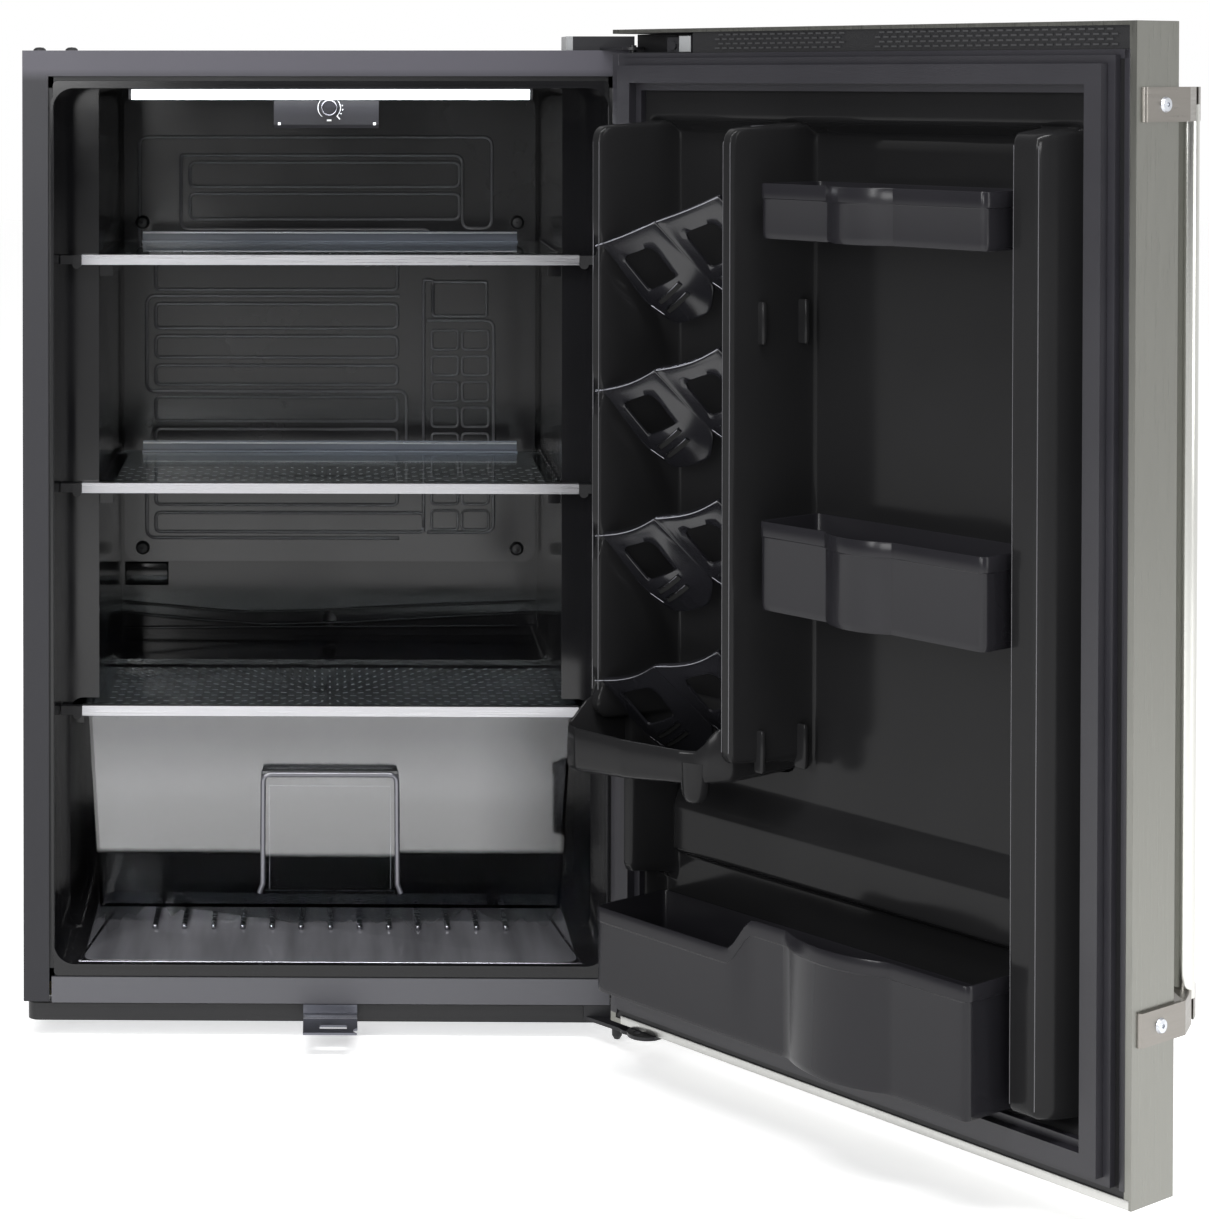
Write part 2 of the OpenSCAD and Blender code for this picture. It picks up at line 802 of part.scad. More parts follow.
module door_cap_bottom() {
    t = skin_t + 0.1;
    color("#131316") on_door() difference() {
        span([t, -door_t + t, door_low + t], [door_w - t, -t, 41]);
        translate([pivot_u, -pivot_w, door_low]) cylinder(r = pin_r + run, h = 9.5);
        translate([lock_u, -bolt_w, door_low - 1]) cylinder(r = bolt_r + 0.06, h = 20);
    }
}

// Plate under the door's hinge end that meets a stop when the door is fully open.
module door_stop() {
    color("#0e0e10") on_door() difference() {
        translate([0, 0, door_low - 3.2]) linear_extrude(3) {
            translate([24, -30]) square([30, 32]);
            translate([39, -2]) circle(r = 15);
        }
        translate([36, 4, door_low - 4]) cylinder(r = 3.5, h = 5);
    }
}

module door_hinge_leaf() {
    color("#1d1e22") on_door() {
        span([13, -22, recess_z], [76, -6, recess_z + 2]);
        span([60, -6, recess_z], [76, -4, recess_z + 14]);
        span([76, -16, recess_z], [90, -1.5, recess_z + 15.5]);
        translate([68, -4, recess_z + 7]) rotate([-90, 0, 0]) cylinder(r = 3.4, h = 2);
    }
}

// Pocket of the moulded door liner, grown by g.
module door_pocket(g) {
    span([pocket_u0 - g, panel_w - g, pocket_z0 - g], [pocket_u1 + g, 3, pocket_z1 + g]);
}

module door_foam() {
    t = skin_t + 0.1;
    color("#d8cf9c") on_door() difference() {
        span([t, -door_t + t, 41.3], [door_w - t, -2.3, cap_z - hot_gap]);
        door_pocket(2.3);
        translate([lock_u, -door_t, lock_z]) rotate([-90, 0, 0]) cylinder(r = 8, h = 32);
        translate([lock_u, -bolt_w, 40]) cylinder(r = 6, h = 20);
        translate([pivot_u, -pivot_w, cap_z - 12.3]) cylinder(r = boss_r + 0.3, h = 20);
    }
}

left_dyke = [[pocket_u0 - 1, -1], [44, 60], [48, 67], [53, 67], [57, 60], [66, panel_w - 1]];
left_dyke_low = [[pocket_u0 - 1, -1], [44, 26], [48, 30], [53, 30], [57, 26], [66, panel_w - 1]];
centre_dyke = [[184, panel_w - 1], [191, 62], [195, 69], [200, 69], [204, 62], [214.5, panel_w - 1]];
right_dyke = [[437, panel_w - 1], [438, 27], [442, 31], [462, 31], [467, 26], [pocket_u1 + 1, -1]];

module door_liner() {
    color("#17171a") on_door() {
        difference() {
            union() {
                span([7, -2, 41.3], [door_w - 7, 0, cap_z - hot_gap]);
                door_pocket(2);
            }
            span([pocket_u0, panel_w, pocket_z0], [pocket_u1, 4, pocket_z1]);
            span([0, 0, 0], [door_w, 10, 900]);
        }
        upright(dyke_z0, pocket_z1 - 8, left_dyke);
        upright(160, dyke_z0, left_dyke_low);
        upright(dyke_z0, pocket_z1 - 8, centre_dyke);
        upright(80, pocket_z1 - 8, right_dyke);
        can_tray();
        for (z = [280, 611]) {
            for (u = [160, 205]) {
                span([u, panel_w - 0.5, z], [u + 5, panel_w + 7, z + 34]);
            }
        }
        // stops under the two upper bins, and the ledge behind the bottom bin
        for (z = [398, 684]) {
            span([222, panel_w - 0.5, z], [430, panel_w + 9, z + 13.7]);
        }
        translate([66, 0, 0]) rotate([90, 0, 90]) linear_extrude(370) polygon([
            [panel_w - 0.5, 254], [panel_w - 0.5, 182], [0, 182], [0, 222]
        ]);
    }
}

can_tray_z = 266;
can_tray_h = 34;

// Shelf under the can column, with its spout.
module can_tray() {
    outer = [
        [pocket_u0, panel_w], [pocket_u0, 92], [60, 98], [112, 97], [165, 88], [186, 76], [199, 60], [199, panel_w]
    ];
    inner = [
        [pocket_u0 + 3, panel_w - 1], [pocket_u0 + 3, 90], [61, 95], [111, 94], [163, 85.5], [184, 74],
        [196, 59], [196, panel_w - 1]
    ];
    translate([0, 0, can_tray_z]) difference() {
        linear_extrude(can_tray_h) polygon(outer);
        translate([0, 0, 4]) linear_extrude(can_tray_h) polygon(inner);
    }
    translate([172, 74, can_tray_z - 8]) cylinder(r = 10, h = 12);
}

module gasket() {
    u0 = gasket_u0;
    u1 = gasket_u1;
    z0 = gasket_z0;
    z1 = gasket_z1;
    w = gasket_w;
    color("#1c1d20") on_door() difference() {
        union() {
            span([u0, 0, z0], [u1, 6, z1]);
            span([u0 + 6, 5, z0 + 6], [u1 - 6, gasket_t, z1 - 6]);
        }
        span([u0 + w, -1, z0 + w], [u1 - w, gasket_t + 1, z1 - w]);
        span([u0 + w - 6, 6, z0 + w - 6], [u1 - w + 6, gasket_t + 1, z1 - w + 6]);
    }
}

// ---------- door storage ----------

// A door bin: outline of [u, w] points, with a bulge of radius r in its front.
module bin_plan(u0, u1, out, b0, b1, bulge, t) {
    chord = (b1 - b0) / 2;
    r = (chord * chord + bulge * bulge) / (2 * bulge);
    translate([u0 + t, panel_w + 0.6 + t]) square([u1 - u0 - 2 * t, out - panel_w - 0.6 - 2 * t]);
    intersection() {
        translate([(b0 + b1) / 2, out + bulge - r]) circle(r = r - t, $fn = 96);
        translate([b0 + t, 0]) square([b1 - b0 - 2 * t, out + bulge]);
    }
}

module bin(u0, u1, out, z0, z1, b0, b1, bulge) {
    difference() {
        translate([0, 0, z0]) linear_extrude(z1 - z0) bin_plan(u0, u1, out, b0, b1, bulge, 0);
        translate([0, 0, z0 + bin_t]) linear_extrude(z1 - z0) bin_plan(u0, u1, out, b0, b1, bulge, bin_t);
    }
}

module bin_top() {
    color("#202024") on_door() bin(bin_u0, bin_u1, bin_out, 698, 741, 285, 350, bulge_out);
}

module bin_middle() {
    color("#202024") on_door() bin(bin_u0, bin_u1, bin_out, 412, 481, 285, 350, bulge_out);
}

module bin_bottom() {
    u0 = 50;
    u1 = bin_u1 - 2;
    low_z = 148;
    high_z = 176;
    color("#202024") on_door() difference() {
        bin(u0, u1, 67, 78, high_z, 260, 358, bulge_out + 2);
        translate([0, 90, 0]) rotate([90, 0, 0]) linear_extrude(110) polygon([
            [u0 - 1, low_z], [194, low_z], [206, low_z + 4], [214, low_z + 16], [224, high_z + 1], [u0 - 1, high_z + 1]
        ]);
        span([u0 - 1, panel_w, low_z], [u1 + 1, 3, high_z + 1]);
    }
}

// A rack for one row of two cans: two sloping lobes, each with a window and two slits.
lobe_w = 73;
lobe_len = 92;

module lobe_plan() {
    difference() {
        union() {
            translate([0, -lobe_len + 26]) square([lobe_w, lobe_len - 26]);
            translate([26, -lobe_len + 26]) circle(r = 26);
            translate([lobe_w - 26, -lobe_len + 26]) circle(r = 26);
            translate([26, -lobe_len]) square([lobe_w - 52, 26]);
        }
        round_rect(15, lobe_w - 22, -53, -19, 9);
        for (y = [-68, -78]) {
            hull() {
                translate([17, y]) circle(r = 1.9);
                translate([49, y + 9]) circle(r = 1.9);
            }
        }
    }
}

module can_rack() {
    rotate([0, -can_rise, 0]) rotate([48, 0, 0]) linear_extrude(3) {
        lobe_plan();
        translate([lobe_w - eps, 0]) lobe_plan();
        translate([0, -8]) square([2 * lobe_w, 8]);
    }
}

module can_racks() {
    color("#1c1c20") on_door() for (i = [0:3]) {
        intersection() {
            translate([46, 64, can_z0 + i * can_pitch]) can_rack();
            span([54, panel_w + 0.4, 290], [190, 75, 790]);
        }
    }
}

// ---------- handle and lock ----------

bar_at = [door_w - bar_in, -door_t - bar_out];
bracket_h = 24.5;
bracket_z = [bar_low - 18, bar_high - 12];
screw_w = 29;

module handle_bar() {
    color("#c2c1bd") on_door() translate([bar_at[0], bar_at[1], bar_low])
        cylinder(r = bar_r, h = bar_high - bar_low, $fn = 64);
}

// Plate on the door's side edge that turns in behind the bar, with a socket around the bar.
module bracket_plan() {
    difference() {
        union() {
            translate([door_w, -door_t - 9.5]) square([3, door_t + 0.5]);
            translate([door_w, -9]) intersection() {
                circle(r = 3);
                square([3, 9]);
            }
            polygon([
                [door_w, -door_t - 9.5], [door_w + 3, -door_t - 9.5], [bar_at[0] - 1, bar_at[1] - 16],
                [bar_at[0] - 6, bar_at[1] - 16], [bar_at[0] - 11, bar_at[1] - 8], [bar_at[0] - 11, bar_at[1] + 4],
                [bar_at[0] - 6, bar_at[1] + 10], [bar_at[0] + 4, bar_at[1] + 16]
            ]);
        }
        translate(bar_at) circle(r = bar_r + 0.05, $fn = 64);
    }
}

module handle_brackets() {
    color("#b3b1ac") on_door() for (z = bracket_z) {
        difference() {
            translate([0, 0, z]) linear_extrude(bracket_h) bracket_plan();
            translate([door_w - 1, -screw_w, z + bracket_h / 2]) rotate([0, 90, 0]) cylinder(r = 2.6, h = 6);
        }
    }
}

module handle_screws() {
    color("#8d8d8f") on_door() for (z = bracket_z) {
        translate([door_w + 3, -screw_w, z + bracket_h / 2]) rotate([0, 90, 0]) difference() {
            rotate_extrude() polygon([[0, -2.9], [2.4, -2.9], [2.4, 0], [5.6, 0], [4.8, 1.8], [0, 2.4]]);
            translate([0, 0, 1]) cylinder(r = 1.8, h = 2, $fn = 6);
        }
    }
}

module lock_barrel() {
    color("#c8c8ca") on_door() difference() {
        union() {
            translate([lock_u, -door_t - 2, lock_z]) rotate([-90, 0, 0]) cylinder(r = 7, h = 22);
            translate([lock_u, -door_t - 3, lock_z]) rotate([-90, 0, 0]) cylinder(r = 10, h = 2.8);
        }
        span([lock_u - 1, -door_t - 4, lock_z - 4], [lock_u + 1, -door_t + 2, lock_z + 4]);
    }
}

module lock_bolt() {
    color("#a5a6a8") on_door() translate([lock_u, -bolt_w, door_low + 0.5]) cylinder(r = bolt_r, h = 28);
}

// ---------- output ----------

side_wrap();
front_rail();
base_strip();
base_pan();
back_panel();
foam_cabinet();
condenser_coil();
liner();
evaporator();
evaporator_screws();
sensor_clip();
light_housing();
light_lens();
thermostat_housing();
thermostat_body();
thermostat_knob();
shelf_1_glass();
shelf_1_trim();
shelf_1_caps();
shelf_1_lip();
shelf_2_glass();
shelf_2_trim();
shelf_2_caps();
shelf_2_lip();
cover_glass();
cover_trim();
cover_caps();
crisper_drawer();
compressor();
compressor_grommets();
compressor_plate();
terminal_cover();
filter_drier();
drain_tube();
drip_tray();
cord_gland();
feet();
top_plugs();
strike_plate();
top_hinge();
top_hinge_cap();
hinge_screws();
bottom_hinge();
door_skin();
door_cap_top();
door_cap_bottom();
door_foam();
door_liner();
gasket();
door_hinge_leaf();
door_stop();
bin_top();
bin_middle();
bin_bottom();
can_racks();
handle_bar();
handle_brackets();
handle_screws();
lock_barrel();
lock_bolt();
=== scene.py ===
# Looks for the compact refrigerator: every part keeps its place, and moulded surfaces, trims,
# printed marks and procedural materials are added around it.
import json
import math

import bmesh
import bpy
from mathutils import Matrix, Vector


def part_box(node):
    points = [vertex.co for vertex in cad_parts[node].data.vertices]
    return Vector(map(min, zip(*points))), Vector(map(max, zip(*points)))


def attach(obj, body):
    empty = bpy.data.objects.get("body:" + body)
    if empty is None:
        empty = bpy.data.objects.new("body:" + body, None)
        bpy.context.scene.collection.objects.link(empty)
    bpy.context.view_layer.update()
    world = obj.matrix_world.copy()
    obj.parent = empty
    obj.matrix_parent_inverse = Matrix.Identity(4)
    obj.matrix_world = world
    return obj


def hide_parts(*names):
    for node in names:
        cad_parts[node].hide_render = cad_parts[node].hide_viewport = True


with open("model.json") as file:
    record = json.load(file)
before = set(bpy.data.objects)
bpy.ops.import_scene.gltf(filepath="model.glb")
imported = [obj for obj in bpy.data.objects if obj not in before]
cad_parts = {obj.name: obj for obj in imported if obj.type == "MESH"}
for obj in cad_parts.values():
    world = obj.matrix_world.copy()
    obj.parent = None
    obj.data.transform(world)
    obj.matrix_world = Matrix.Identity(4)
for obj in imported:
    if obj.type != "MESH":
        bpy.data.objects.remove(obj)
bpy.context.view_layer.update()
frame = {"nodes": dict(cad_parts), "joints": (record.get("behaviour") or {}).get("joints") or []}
NODES = frame["nodes"]
JOINTS = {joint["name"]: joint for joint in frame["joints"]}
MM = 0.001

# ---------- places taken from the frame ----------

wrap_lo, wrap_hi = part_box("side_wrap")
FRONT = wrap_lo.y
HALF_W = wrap_hi.x
CAB_TOP = wrap_hi.z
PIVOT = Vector(JOINTS["door_hinge"]["pos_m"])
DOOR_ANGLE = -math.radians(JOINTS["door_hinge"]["range_deg"][0])
DOOR_RIGHT = HALF_W - 1 * MM
DOOR_GAP = 14.2 * MM

# The door's own frame: x is u, from the hinge edge; y is w, inwards from the inner face.
DOOR = (
    Matrix.Translation((PIVOT.x, PIVOT.y, 0))
    @ Matrix.Rotation(DOOR_ANGLE, 4, "Z")
    @ Matrix.Translation((DOOR_RIGHT - PIVOT.x, FRONT - DOOR_GAP - PIVOT.y, 0))
    @ Matrix.Diagonal((-1, 1, 1, 1))
)
# The cabinet's own frame: y is the depth behind the front plane.
CABINET = Matrix.Translation((0, FRONT, 0))


# ---------- materials ----------

def new_material(name, color, roughness, metallic=0.0, **sockets):
    material = bpy.data.materials.new(name)
    material.use_nodes = True
    shader = material.node_tree.nodes["Principled BSDF"]
    shader.inputs["Base Color"].default_value = (*color, 1)
    shader.inputs["Roughness"].default_value = roughness
    shader.inputs["Metallic"].default_value = metallic
    for socket, value in sockets.items():
        shader.inputs[socket.replace("_", " ")].default_value = value
    return material


def texture(material, kind, scale, stretch=(1, 1, 1), **inputs):
    """A procedural texture in object space, stretched along the axes."""
    tree = material.node_tree
    coords = tree.nodes.new("ShaderNodeTexCoord")
    mapping = tree.nodes.new("ShaderNodeMapping")
    mapping.inputs["Scale"].default_value = stretch
    node = tree.nodes.new(kind)
    node.inputs["Scale"].default_value = scale
    for socket, value in inputs.items():
        node.inputs[socket].default_value = value
    tree.links.new(coords.outputs["Object"], mapping.inputs["Vector"])
    tree.links.new(mapping.outputs["Vector"], node.inputs["Vector"])
    return node


def vary(material, node, socket, low, high, start=0.3, end=0.7):
    """The texture's value drives a socket between low and high."""
    tree = material.node_tree
    ramp = tree.nodes.new("ShaderNodeMapRange")
    ramp.inputs["From Min"].default_value = start
    ramp.inputs["From Max"].default_value = end
    ramp.inputs["To Min"].default_value = low
    ramp.inputs["To Max"].default_value = high
    source = node.outputs.get("Fac") or node.outputs[0]
    tree.links.new(source, ramp.inputs["Value"])
    tree.links.new(ramp.outputs["Result"], tree.nodes["Principled BSDF"].inputs[socket])


def tint(material, node, color_a, color_b):
    """The texture's value mixes two colours."""
    tree = material.node_tree
    mix = tree.nodes.new("ShaderNodeMix")
    mix.data_type = "RGBA"
    mix.inputs["A"].default_value = (*color_a, 1)
    mix.inputs["B"].default_value = (*color_b, 1)
    source = node.outputs.get("Fac") or node.outputs[0]
    tree.links.new(source, mix.inputs["Factor"])
    tree.links.new(mix.outputs["Result"], tree.nodes["Principled BSDF"].inputs["Base Color"])


def bump(material, nodes, strength, distance):
    """Small relief from one or more textures, added one on another."""
    tree = material.node_tree
    previous = None
    for node in nodes:
        relief = tree.nodes.new("ShaderNodeBump")
        relief.inputs["Strength"].default_value = strength
        relief.inputs["Distance"].default_value = distance
        source = node.outputs.get("Fac") or node.outputs[0]
        tree.links.new(source, relief.inputs["Height"])
        if previous:
            tree.links.new(previous.outputs["Normal"], relief.inputs["Normal"])
        previous = relief
    tree.links.new(previous.outputs["Normal"], tree.nodes["Principled BSDF"].inputs["Normal"])


def moulded_plastic(name, color, low, high, grain=0.0, shine=0.5):
    """Plastic whose gloss varies softly, with an optional fine grain."""
    material = new_material(name, color, low, Specular_IOR_Level=shine)
    clouds = texture(material, "ShaderNodeTexNoise", 9, Detail=4)
    vary(material, clouds, "Roughness", low, high)
    brighter = tuple(min(1, c * 1.25 + 0.001) for c in color)
    tint(material, clouds, color, brighter)
    waves = texture(material, "ShaderNodeTexNoise", 7, Detail=1)
    fine = texture(material, "ShaderNodeTexNoise", 1400, Detail=2)
    bump(material, [waves, fine] if grain else [waves], 0.1 + grain, 0.0006)
    return material


def painted_steel(name, color, roughness):
    """Powder paint: a fine orange-peel relief and faint mottling."""
    material = new_material(name, color, roughness, Specular_IOR_Level=0.35)
    peel = texture(material, "ShaderNodeTexNoise", 900, Detail=2)
    clouds = texture(material, "ShaderNodeTexNoise", 6, Detail=3)
    vary(material, clouds, "Roughness", roughness - 0.05, roughness + 0.07)
    tint(material, clouds, color, tuple(c * 1.12 for c in color))
    bump(material, [peel], 0.25, 0.00008)
    return material


def brushed_metal(name, color, roughness, stretch, spread=0.12):
    """Metal with fine parallel scratches along one axis."""
    material = new_material(name, color, roughness, 1.0, Anisotropic=0.4)
    lines = texture(material, "ShaderNodeTexNoise", 900, stretch, Detail=6, Roughness=0.7)
    clouds = texture(material, "ShaderNodeTexNoise", 5, Detail=2)
    vary(material, lines, "Roughness", roughness - spread / 2, roughness + spread)
    tint(material, clouds, tuple(c * 0.94 for c in color), color)
    bump(material, [lines], 0.08, 0.00005)
    return material


PAINT_COLOR = (0.0125, 0.0125, 0.016)
PAINT = painted_steel("charcoal_paint", PAINT_COLOR, 0.40)
# Painted reflection: the front rail gets a lighter copy of the charcoal paint, for the floor light it
# reflects.
RAIL_PAINT_LIT = painted_steel("rail_paint_painted_reflection", (0.075, 0.075, 0.084), 0.36)
LINER = moulded_plastic("liner_gloss_black", (0.0060, 0.0060, 0.0068), 0.08, 0.16, shine=0.35)
DOOR_LINER = moulded_plastic("door_liner_black", (0.0100, 0.0100, 0.0105), 0.10, 0.17, shine=0.12)
RACK = moulded_plastic("rack_black", (0.0095, 0.0095, 0.0115), 0.12, 0.2, shine=0.5)
BIN = moulded_plastic("bin_black", (0.0105, 0.0102, 0.0122), 0.2, 0.28, shine=0.22)
BLACK = moulded_plastic("matte_black_plastic", (0.0095, 0.0095, 0.0105), 0.36, 0.46, 0.15, 0.35)
HOUSING = moulded_plastic("thermostat_grey", (0.005, 0.005, 0.008), 0.3, 0.4)
KNOB = moulded_plastic("knob_black", (0.012, 0.012, 0.015), 0.18, 0.26)
STAINLESS = brushed_metal("brushed_stainless", (0.235, 0.235, 0.215), 0.30, (1, 1, 0.02))
# Painted highlight: a lighter copy of the brushed stainless, for the door's bottom lip.
STAINLESS_LIP_LIT = brushed_metal("stainless_lip_painted_highlight", (0.55, 0.55, 0.53), 0.30, (1, 1, 0.02))
BRACKET = brushed_metal("bracket_steel", (0.26, 0.245, 0.225), 0.32, (0.02, 0.02, 1))
BAR = brushed_metal("bar_metal", (0.60, 0.60, 0.57), 0.16, (1, 1, 0.02), 0.06)
ZINC = brushed_metal("zinc_steel", (0.58, 0.6, 0.64), 0.3, (0.05, 1, 1))
STRIKE = brushed_metal("strike_steel", (0.16, 0.165, 0.19), 0.4, (0.05, 1, 1))
GALVANISED = brushed_metal("galvanised_steel", (0.5, 0.51, 0.53), 0.4, (1, 1, 1), 0.2)
DARK_STEEL = painted_steel("dark_painted_steel", (0.012, 0.012, 0.014), 0.33)
# Real aluminium on the shelf trims; the same metal also draws painted highlights on other edges.
TRIM_AND_HIGHLIGHT = brushed_metal("aluminium_trim_and_highlights", (0.46, 0.46, 0.48), 0.28, (0.02, 1, 1))
# Painted highlight: a lighter metal laid on black plastic rims, ribs and lines, standing in for the light
# they catch.
EDGE_HIGHLIGHT_METAL = brushed_metal("edge_highlight_metal", (0.30, 0.30, 0.33), 0.2, (0.02, 1, 1))
SMOKE = moulded_plastic("smoke_plastic", (0.15, 0.165, 0.20), 0.16, 0.24)
LEAF = painted_steel("hinge_leaf_steel", (0.015, 0.015, 0.017), 0.3)
GREY = moulded_plastic("grey_plastic", (0.20, 0.205, 0.21), 0.35, 0.45, 0.1)
RUBBER = moulded_plastic("gasket_rubber", (0.0140, 0.0135, 0.0170), 0.30, 0.4, 0.1)
COPPER = brushed_metal("copper_tube", (0.72, 0.36, 0.22), 0.3, (1, 1, 1), 0.2)
FOAM = moulded_plastic("insulation_foam", (0.66, 0.56, 0.30), 0.8, 0.95, 0.8)
EVAPORATOR = moulded_plastic("evaporator_coating", (0.0110, 0.0110, 0.0120), 0.14, 0.22)
# Painted highlight: the evaporator's embossed channels get a lighter copy of its black coating, for the light
# along them.
RELIEF_PAINTED_HIGHLIGHT = moulded_plastic("evaporator_relief_painted_highlight", (0.065, 0.065, 0.070), 0.10, 0.16)
# Painted highlight: a lighter copy of the black door plastic, for glints along the ridges' edges.
PAINTED_GLINT = moulded_plastic("painted_edge_glint", (0.060, 0.060, 0.065), 0.1, 0.16)
# Painted shade: near-black quads laid in the rack slits in place of open holes.
SLIT_PAINTED_SHADE = moulded_plastic("slit_painted_shade", (0.002, 0.002, 0.002), 0.8, 0.9)
DASH = moulded_plastic("cap_dash", (0.028, 0.028, 0.030), 0.3, 0.4)
PRINT = moulded_plastic("white_print", (0.75, 0.76, 0.78), 0.5, 0.6)
GLASS = new_material("shelf_glass", (0.80, 0.87, 0.88), 0.02, Transmission_Weight=1.0, IOR=1.12)
FROST = moulded_plastic("glass_print", (0.20, 0.21, 0.22), 0.3, 0.4)
CLEAR = new_material(
    "clear_plastic", (0.93, 0.94, 0.96), 0.03,
    Transmission_Weight=1.0, IOR=1.06, Coat_IOR=1.88, Coat_Roughness=0.04,
)
CLEAR_EDGE = new_material("clear_plastic_edge", (0.13, 0.13, 0.15), 0.08, 0.5, Coat_Weight=1.0)
# Painted sheen: a lighter, streaked sheet over the black liner floor, standing in for its reflections.
FLOOR_PAINTED_SHEEN = moulded_plastic("liner_floor_painted_sheen", (0.035, 0.035, 0.040), 0.09, 0.16)
LENS_GLOW = 10.0
LENS = new_material(
    "light_lens", (0.9, 0.93, 1.0), 0.3, Emission_Color=(0.93, 0.96, 1, 1), Emission_Strength=LENS_GLOW,
)


def axis_value(material, node, axis):
    """The position along one axis, in the node's own space, and the offset of world zero."""
    tree = material.node_tree
    coords = tree.nodes.new("ShaderNodeTexCoord")
    parts = tree.nodes.new("ShaderNodeSeparateXYZ")
    tree.links.new(coords.outputs["Object"], parts.inputs["Vector"])
    return parts.outputs[axis], NODES[node].matrix_world.inverted() @ Vector((0, 0, 0))


def ramp_along(material, node, axis, start, end, low, high):
    """A value that goes from low to high between two world positions on an axis."""
    tree = material.node_tree
    value, origin = axis_value(material, node, axis)
    shift = origin["XYZ".index(axis)]
    ramp = tree.nodes.new("ShaderNodeMapRange")
    ramp.inputs["From Min"].default_value = start + shift
    ramp.inputs["From Max"].default_value = end + shift
    ramp.inputs["To Min"].default_value = low
    ramp.inputs["To Max"].default_value = high
    tree.links.new(value, ramp.inputs["Value"])
    return ramp.outputs["Result"]


def multiply(material, socket, values):
    tree = material.node_tree
    total = values[0]
    for value in values[1:]:
        product = tree.nodes.new("ShaderNodeMath")
        product.operation = "MULTIPLY"
        tree.links.new(total, product.inputs[0])
        tree.links.new(value, product.inputs[1])
        total = product.outputs["Value"]
    tree.links.new(total, tree.nodes["Principled BSDF"].inputs[socket])


# The drawer's coat is on its front only, and fades out low down, high up and to the right.
crisper_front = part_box("crisper_drawer")[0].y
multiply(CLEAR, "Coat Weight", [
    ramp_along(CLEAR, "crisper_drawer", "Y", crisper_front + 17 * MM, crisper_front + 17.5 * MM, 1, 0),
    ramp_along(CLEAR, "crisper_drawer", "Z", 0.127, 0.131, 0, 1),
    ramp_along(CLEAR, "crisper_drawer", "Z", 0.190, 0.235, 1, 0.62),
    ramp_along(CLEAR, "crisper_drawer", "X", 0.130, 0.205, 1, 0.4),
])
# Painted highlight: the charcoal paint turns lighter near the cabinet's top, so the top flange looks more lit
# than the sides.
painted_flange_highlight = PAINT.node_tree.nodes.new("ShaderNodeMix")
painted_flange_highlight.data_type = "RGBA"
painted_flange_highlight.inputs["A"].default_value = (*PAINT_COLOR, 1)
painted_flange_highlight.inputs["B"].default_value = (0.055, 0.053, 0.065, 1)
painted_highlight_rise = ramp_along(PAINT, "side_wrap", "Z", CAB_TOP - 26 * MM, CAB_TOP - 16 * MM, 0, 1)
PAINT.node_tree.links.new(painted_highlight_rise, painted_flange_highlight.inputs["Factor"])
PAINT.node_tree.links.new(
    painted_flange_highlight.outputs["Result"], PAINT.node_tree.nodes["Principled BSDF"].inputs["Base Color"]
)
# Painted sheen: light streaks on the liner's floor, from front to back.
painted_sheen_streaks = texture(FLOOR_PAINTED_SHEEN, "ShaderNodeTexNoise", 34, (1, 0.1, 1), Detail=3)
tint(FLOOR_PAINTED_SHEEN, painted_sheen_streaks, (0.012, 0.012, 0.014), (0.17, 0.17, 0.185))

# Material, nodes, and the width of the softened edges in millimetres.
NODE_MATERIALS = [
    (PAINT, 0.6, ["side_wrap", "back_panel"]),
    (RAIL_PAINT_LIT, 0.6, ["front_rail"]),
    (LINER, 1.6, ["liner"]),
    (DOOR_LINER, 1.0, ["door_liner", "can_racks"]),
    (BIN, 1.2, ["bin_top", "bin_middle", "bin_bottom"]),
    (BLACK, 0.8, [
        "base_strip", "evaporator_screws", "sensor_clip", "light_housing",
        "shelf_1_caps", "shelf_2_caps", "cover_caps", "terminal_cover", "drip_tray",
        "cord_gland", "top_plugs", "door_cap_top", "door_cap_bottom",
        "compressor", "compressor_grommets", "feet",
    ]),
    (STAINLESS, 0.8, ["door_skin"]),
    (HOUSING, 1.2, ["thermostat_housing"]),
    (KNOB, 0.8, ["thermostat_knob"]),
    (BAR, 0.8, ["handle_bar"]),
    (BRACKET, 0.8, ["handle_brackets"]),
    (STRIKE, 0.4, ["strike_plate"]),
    (ZINC, 0.4, ["hinge_screws", "handle_screws", "lock_barrel", "lock_bolt", "thermostat_body"]),
    (GALVANISED, 0.4, ["base_pan", "compressor_plate"]),
    (DARK_STEEL, 0.6, ["top_hinge", "bottom_hinge", "door_stop"]),
    (TRIM_AND_HIGHLIGHT, 0.8, ["shelf_1_trim", "shelf_2_trim", "cover_trim"]),
    (SMOKE, 0.8, ["shelf_1_lip", "shelf_2_lip"]),
    (GREY, 0.8, ["top_hinge_cap", "drain_tube"]),
    (LEAF, 0.6, ["door_hinge_leaf"]),
    (RUBBER, 2.2, ["gasket"]),
    (COPPER, 0, ["condenser_coil", "filter_drier"]),
    (FOAM, 0, ["foam_cabinet", "door_foam"]),
    (EVAPORATOR, 0.8, ["evaporator"]),
    (GLASS, 0, ["shelf_1_glass", "shelf_2_glass", "cover_glass"]),
    (CLEAR, 0.8, ["crisper_drawer"]),
    (LENS, 0.8, ["light_lens"]),
]


def soften(obj, width, segments=2):
    """Rounds the sharp edges a little, so that they catch the light."""
    bevel = obj.modifiers.new("soft_edges", "BEVEL")
    bevel.width = width * MM
    bevel.segments = segments
    bevel.limit_method = "ANGLE"
    bevel.angle_limit = math.radians(40)
    bevel.harden_normals = True


for material, width, names in NODE_MATERIALS:
    for name in names:
        mesh = NODES[name].data
        mesh.materials.clear()
        mesh.materials.append(material)
        if width:
            soften(NODES[name], width)


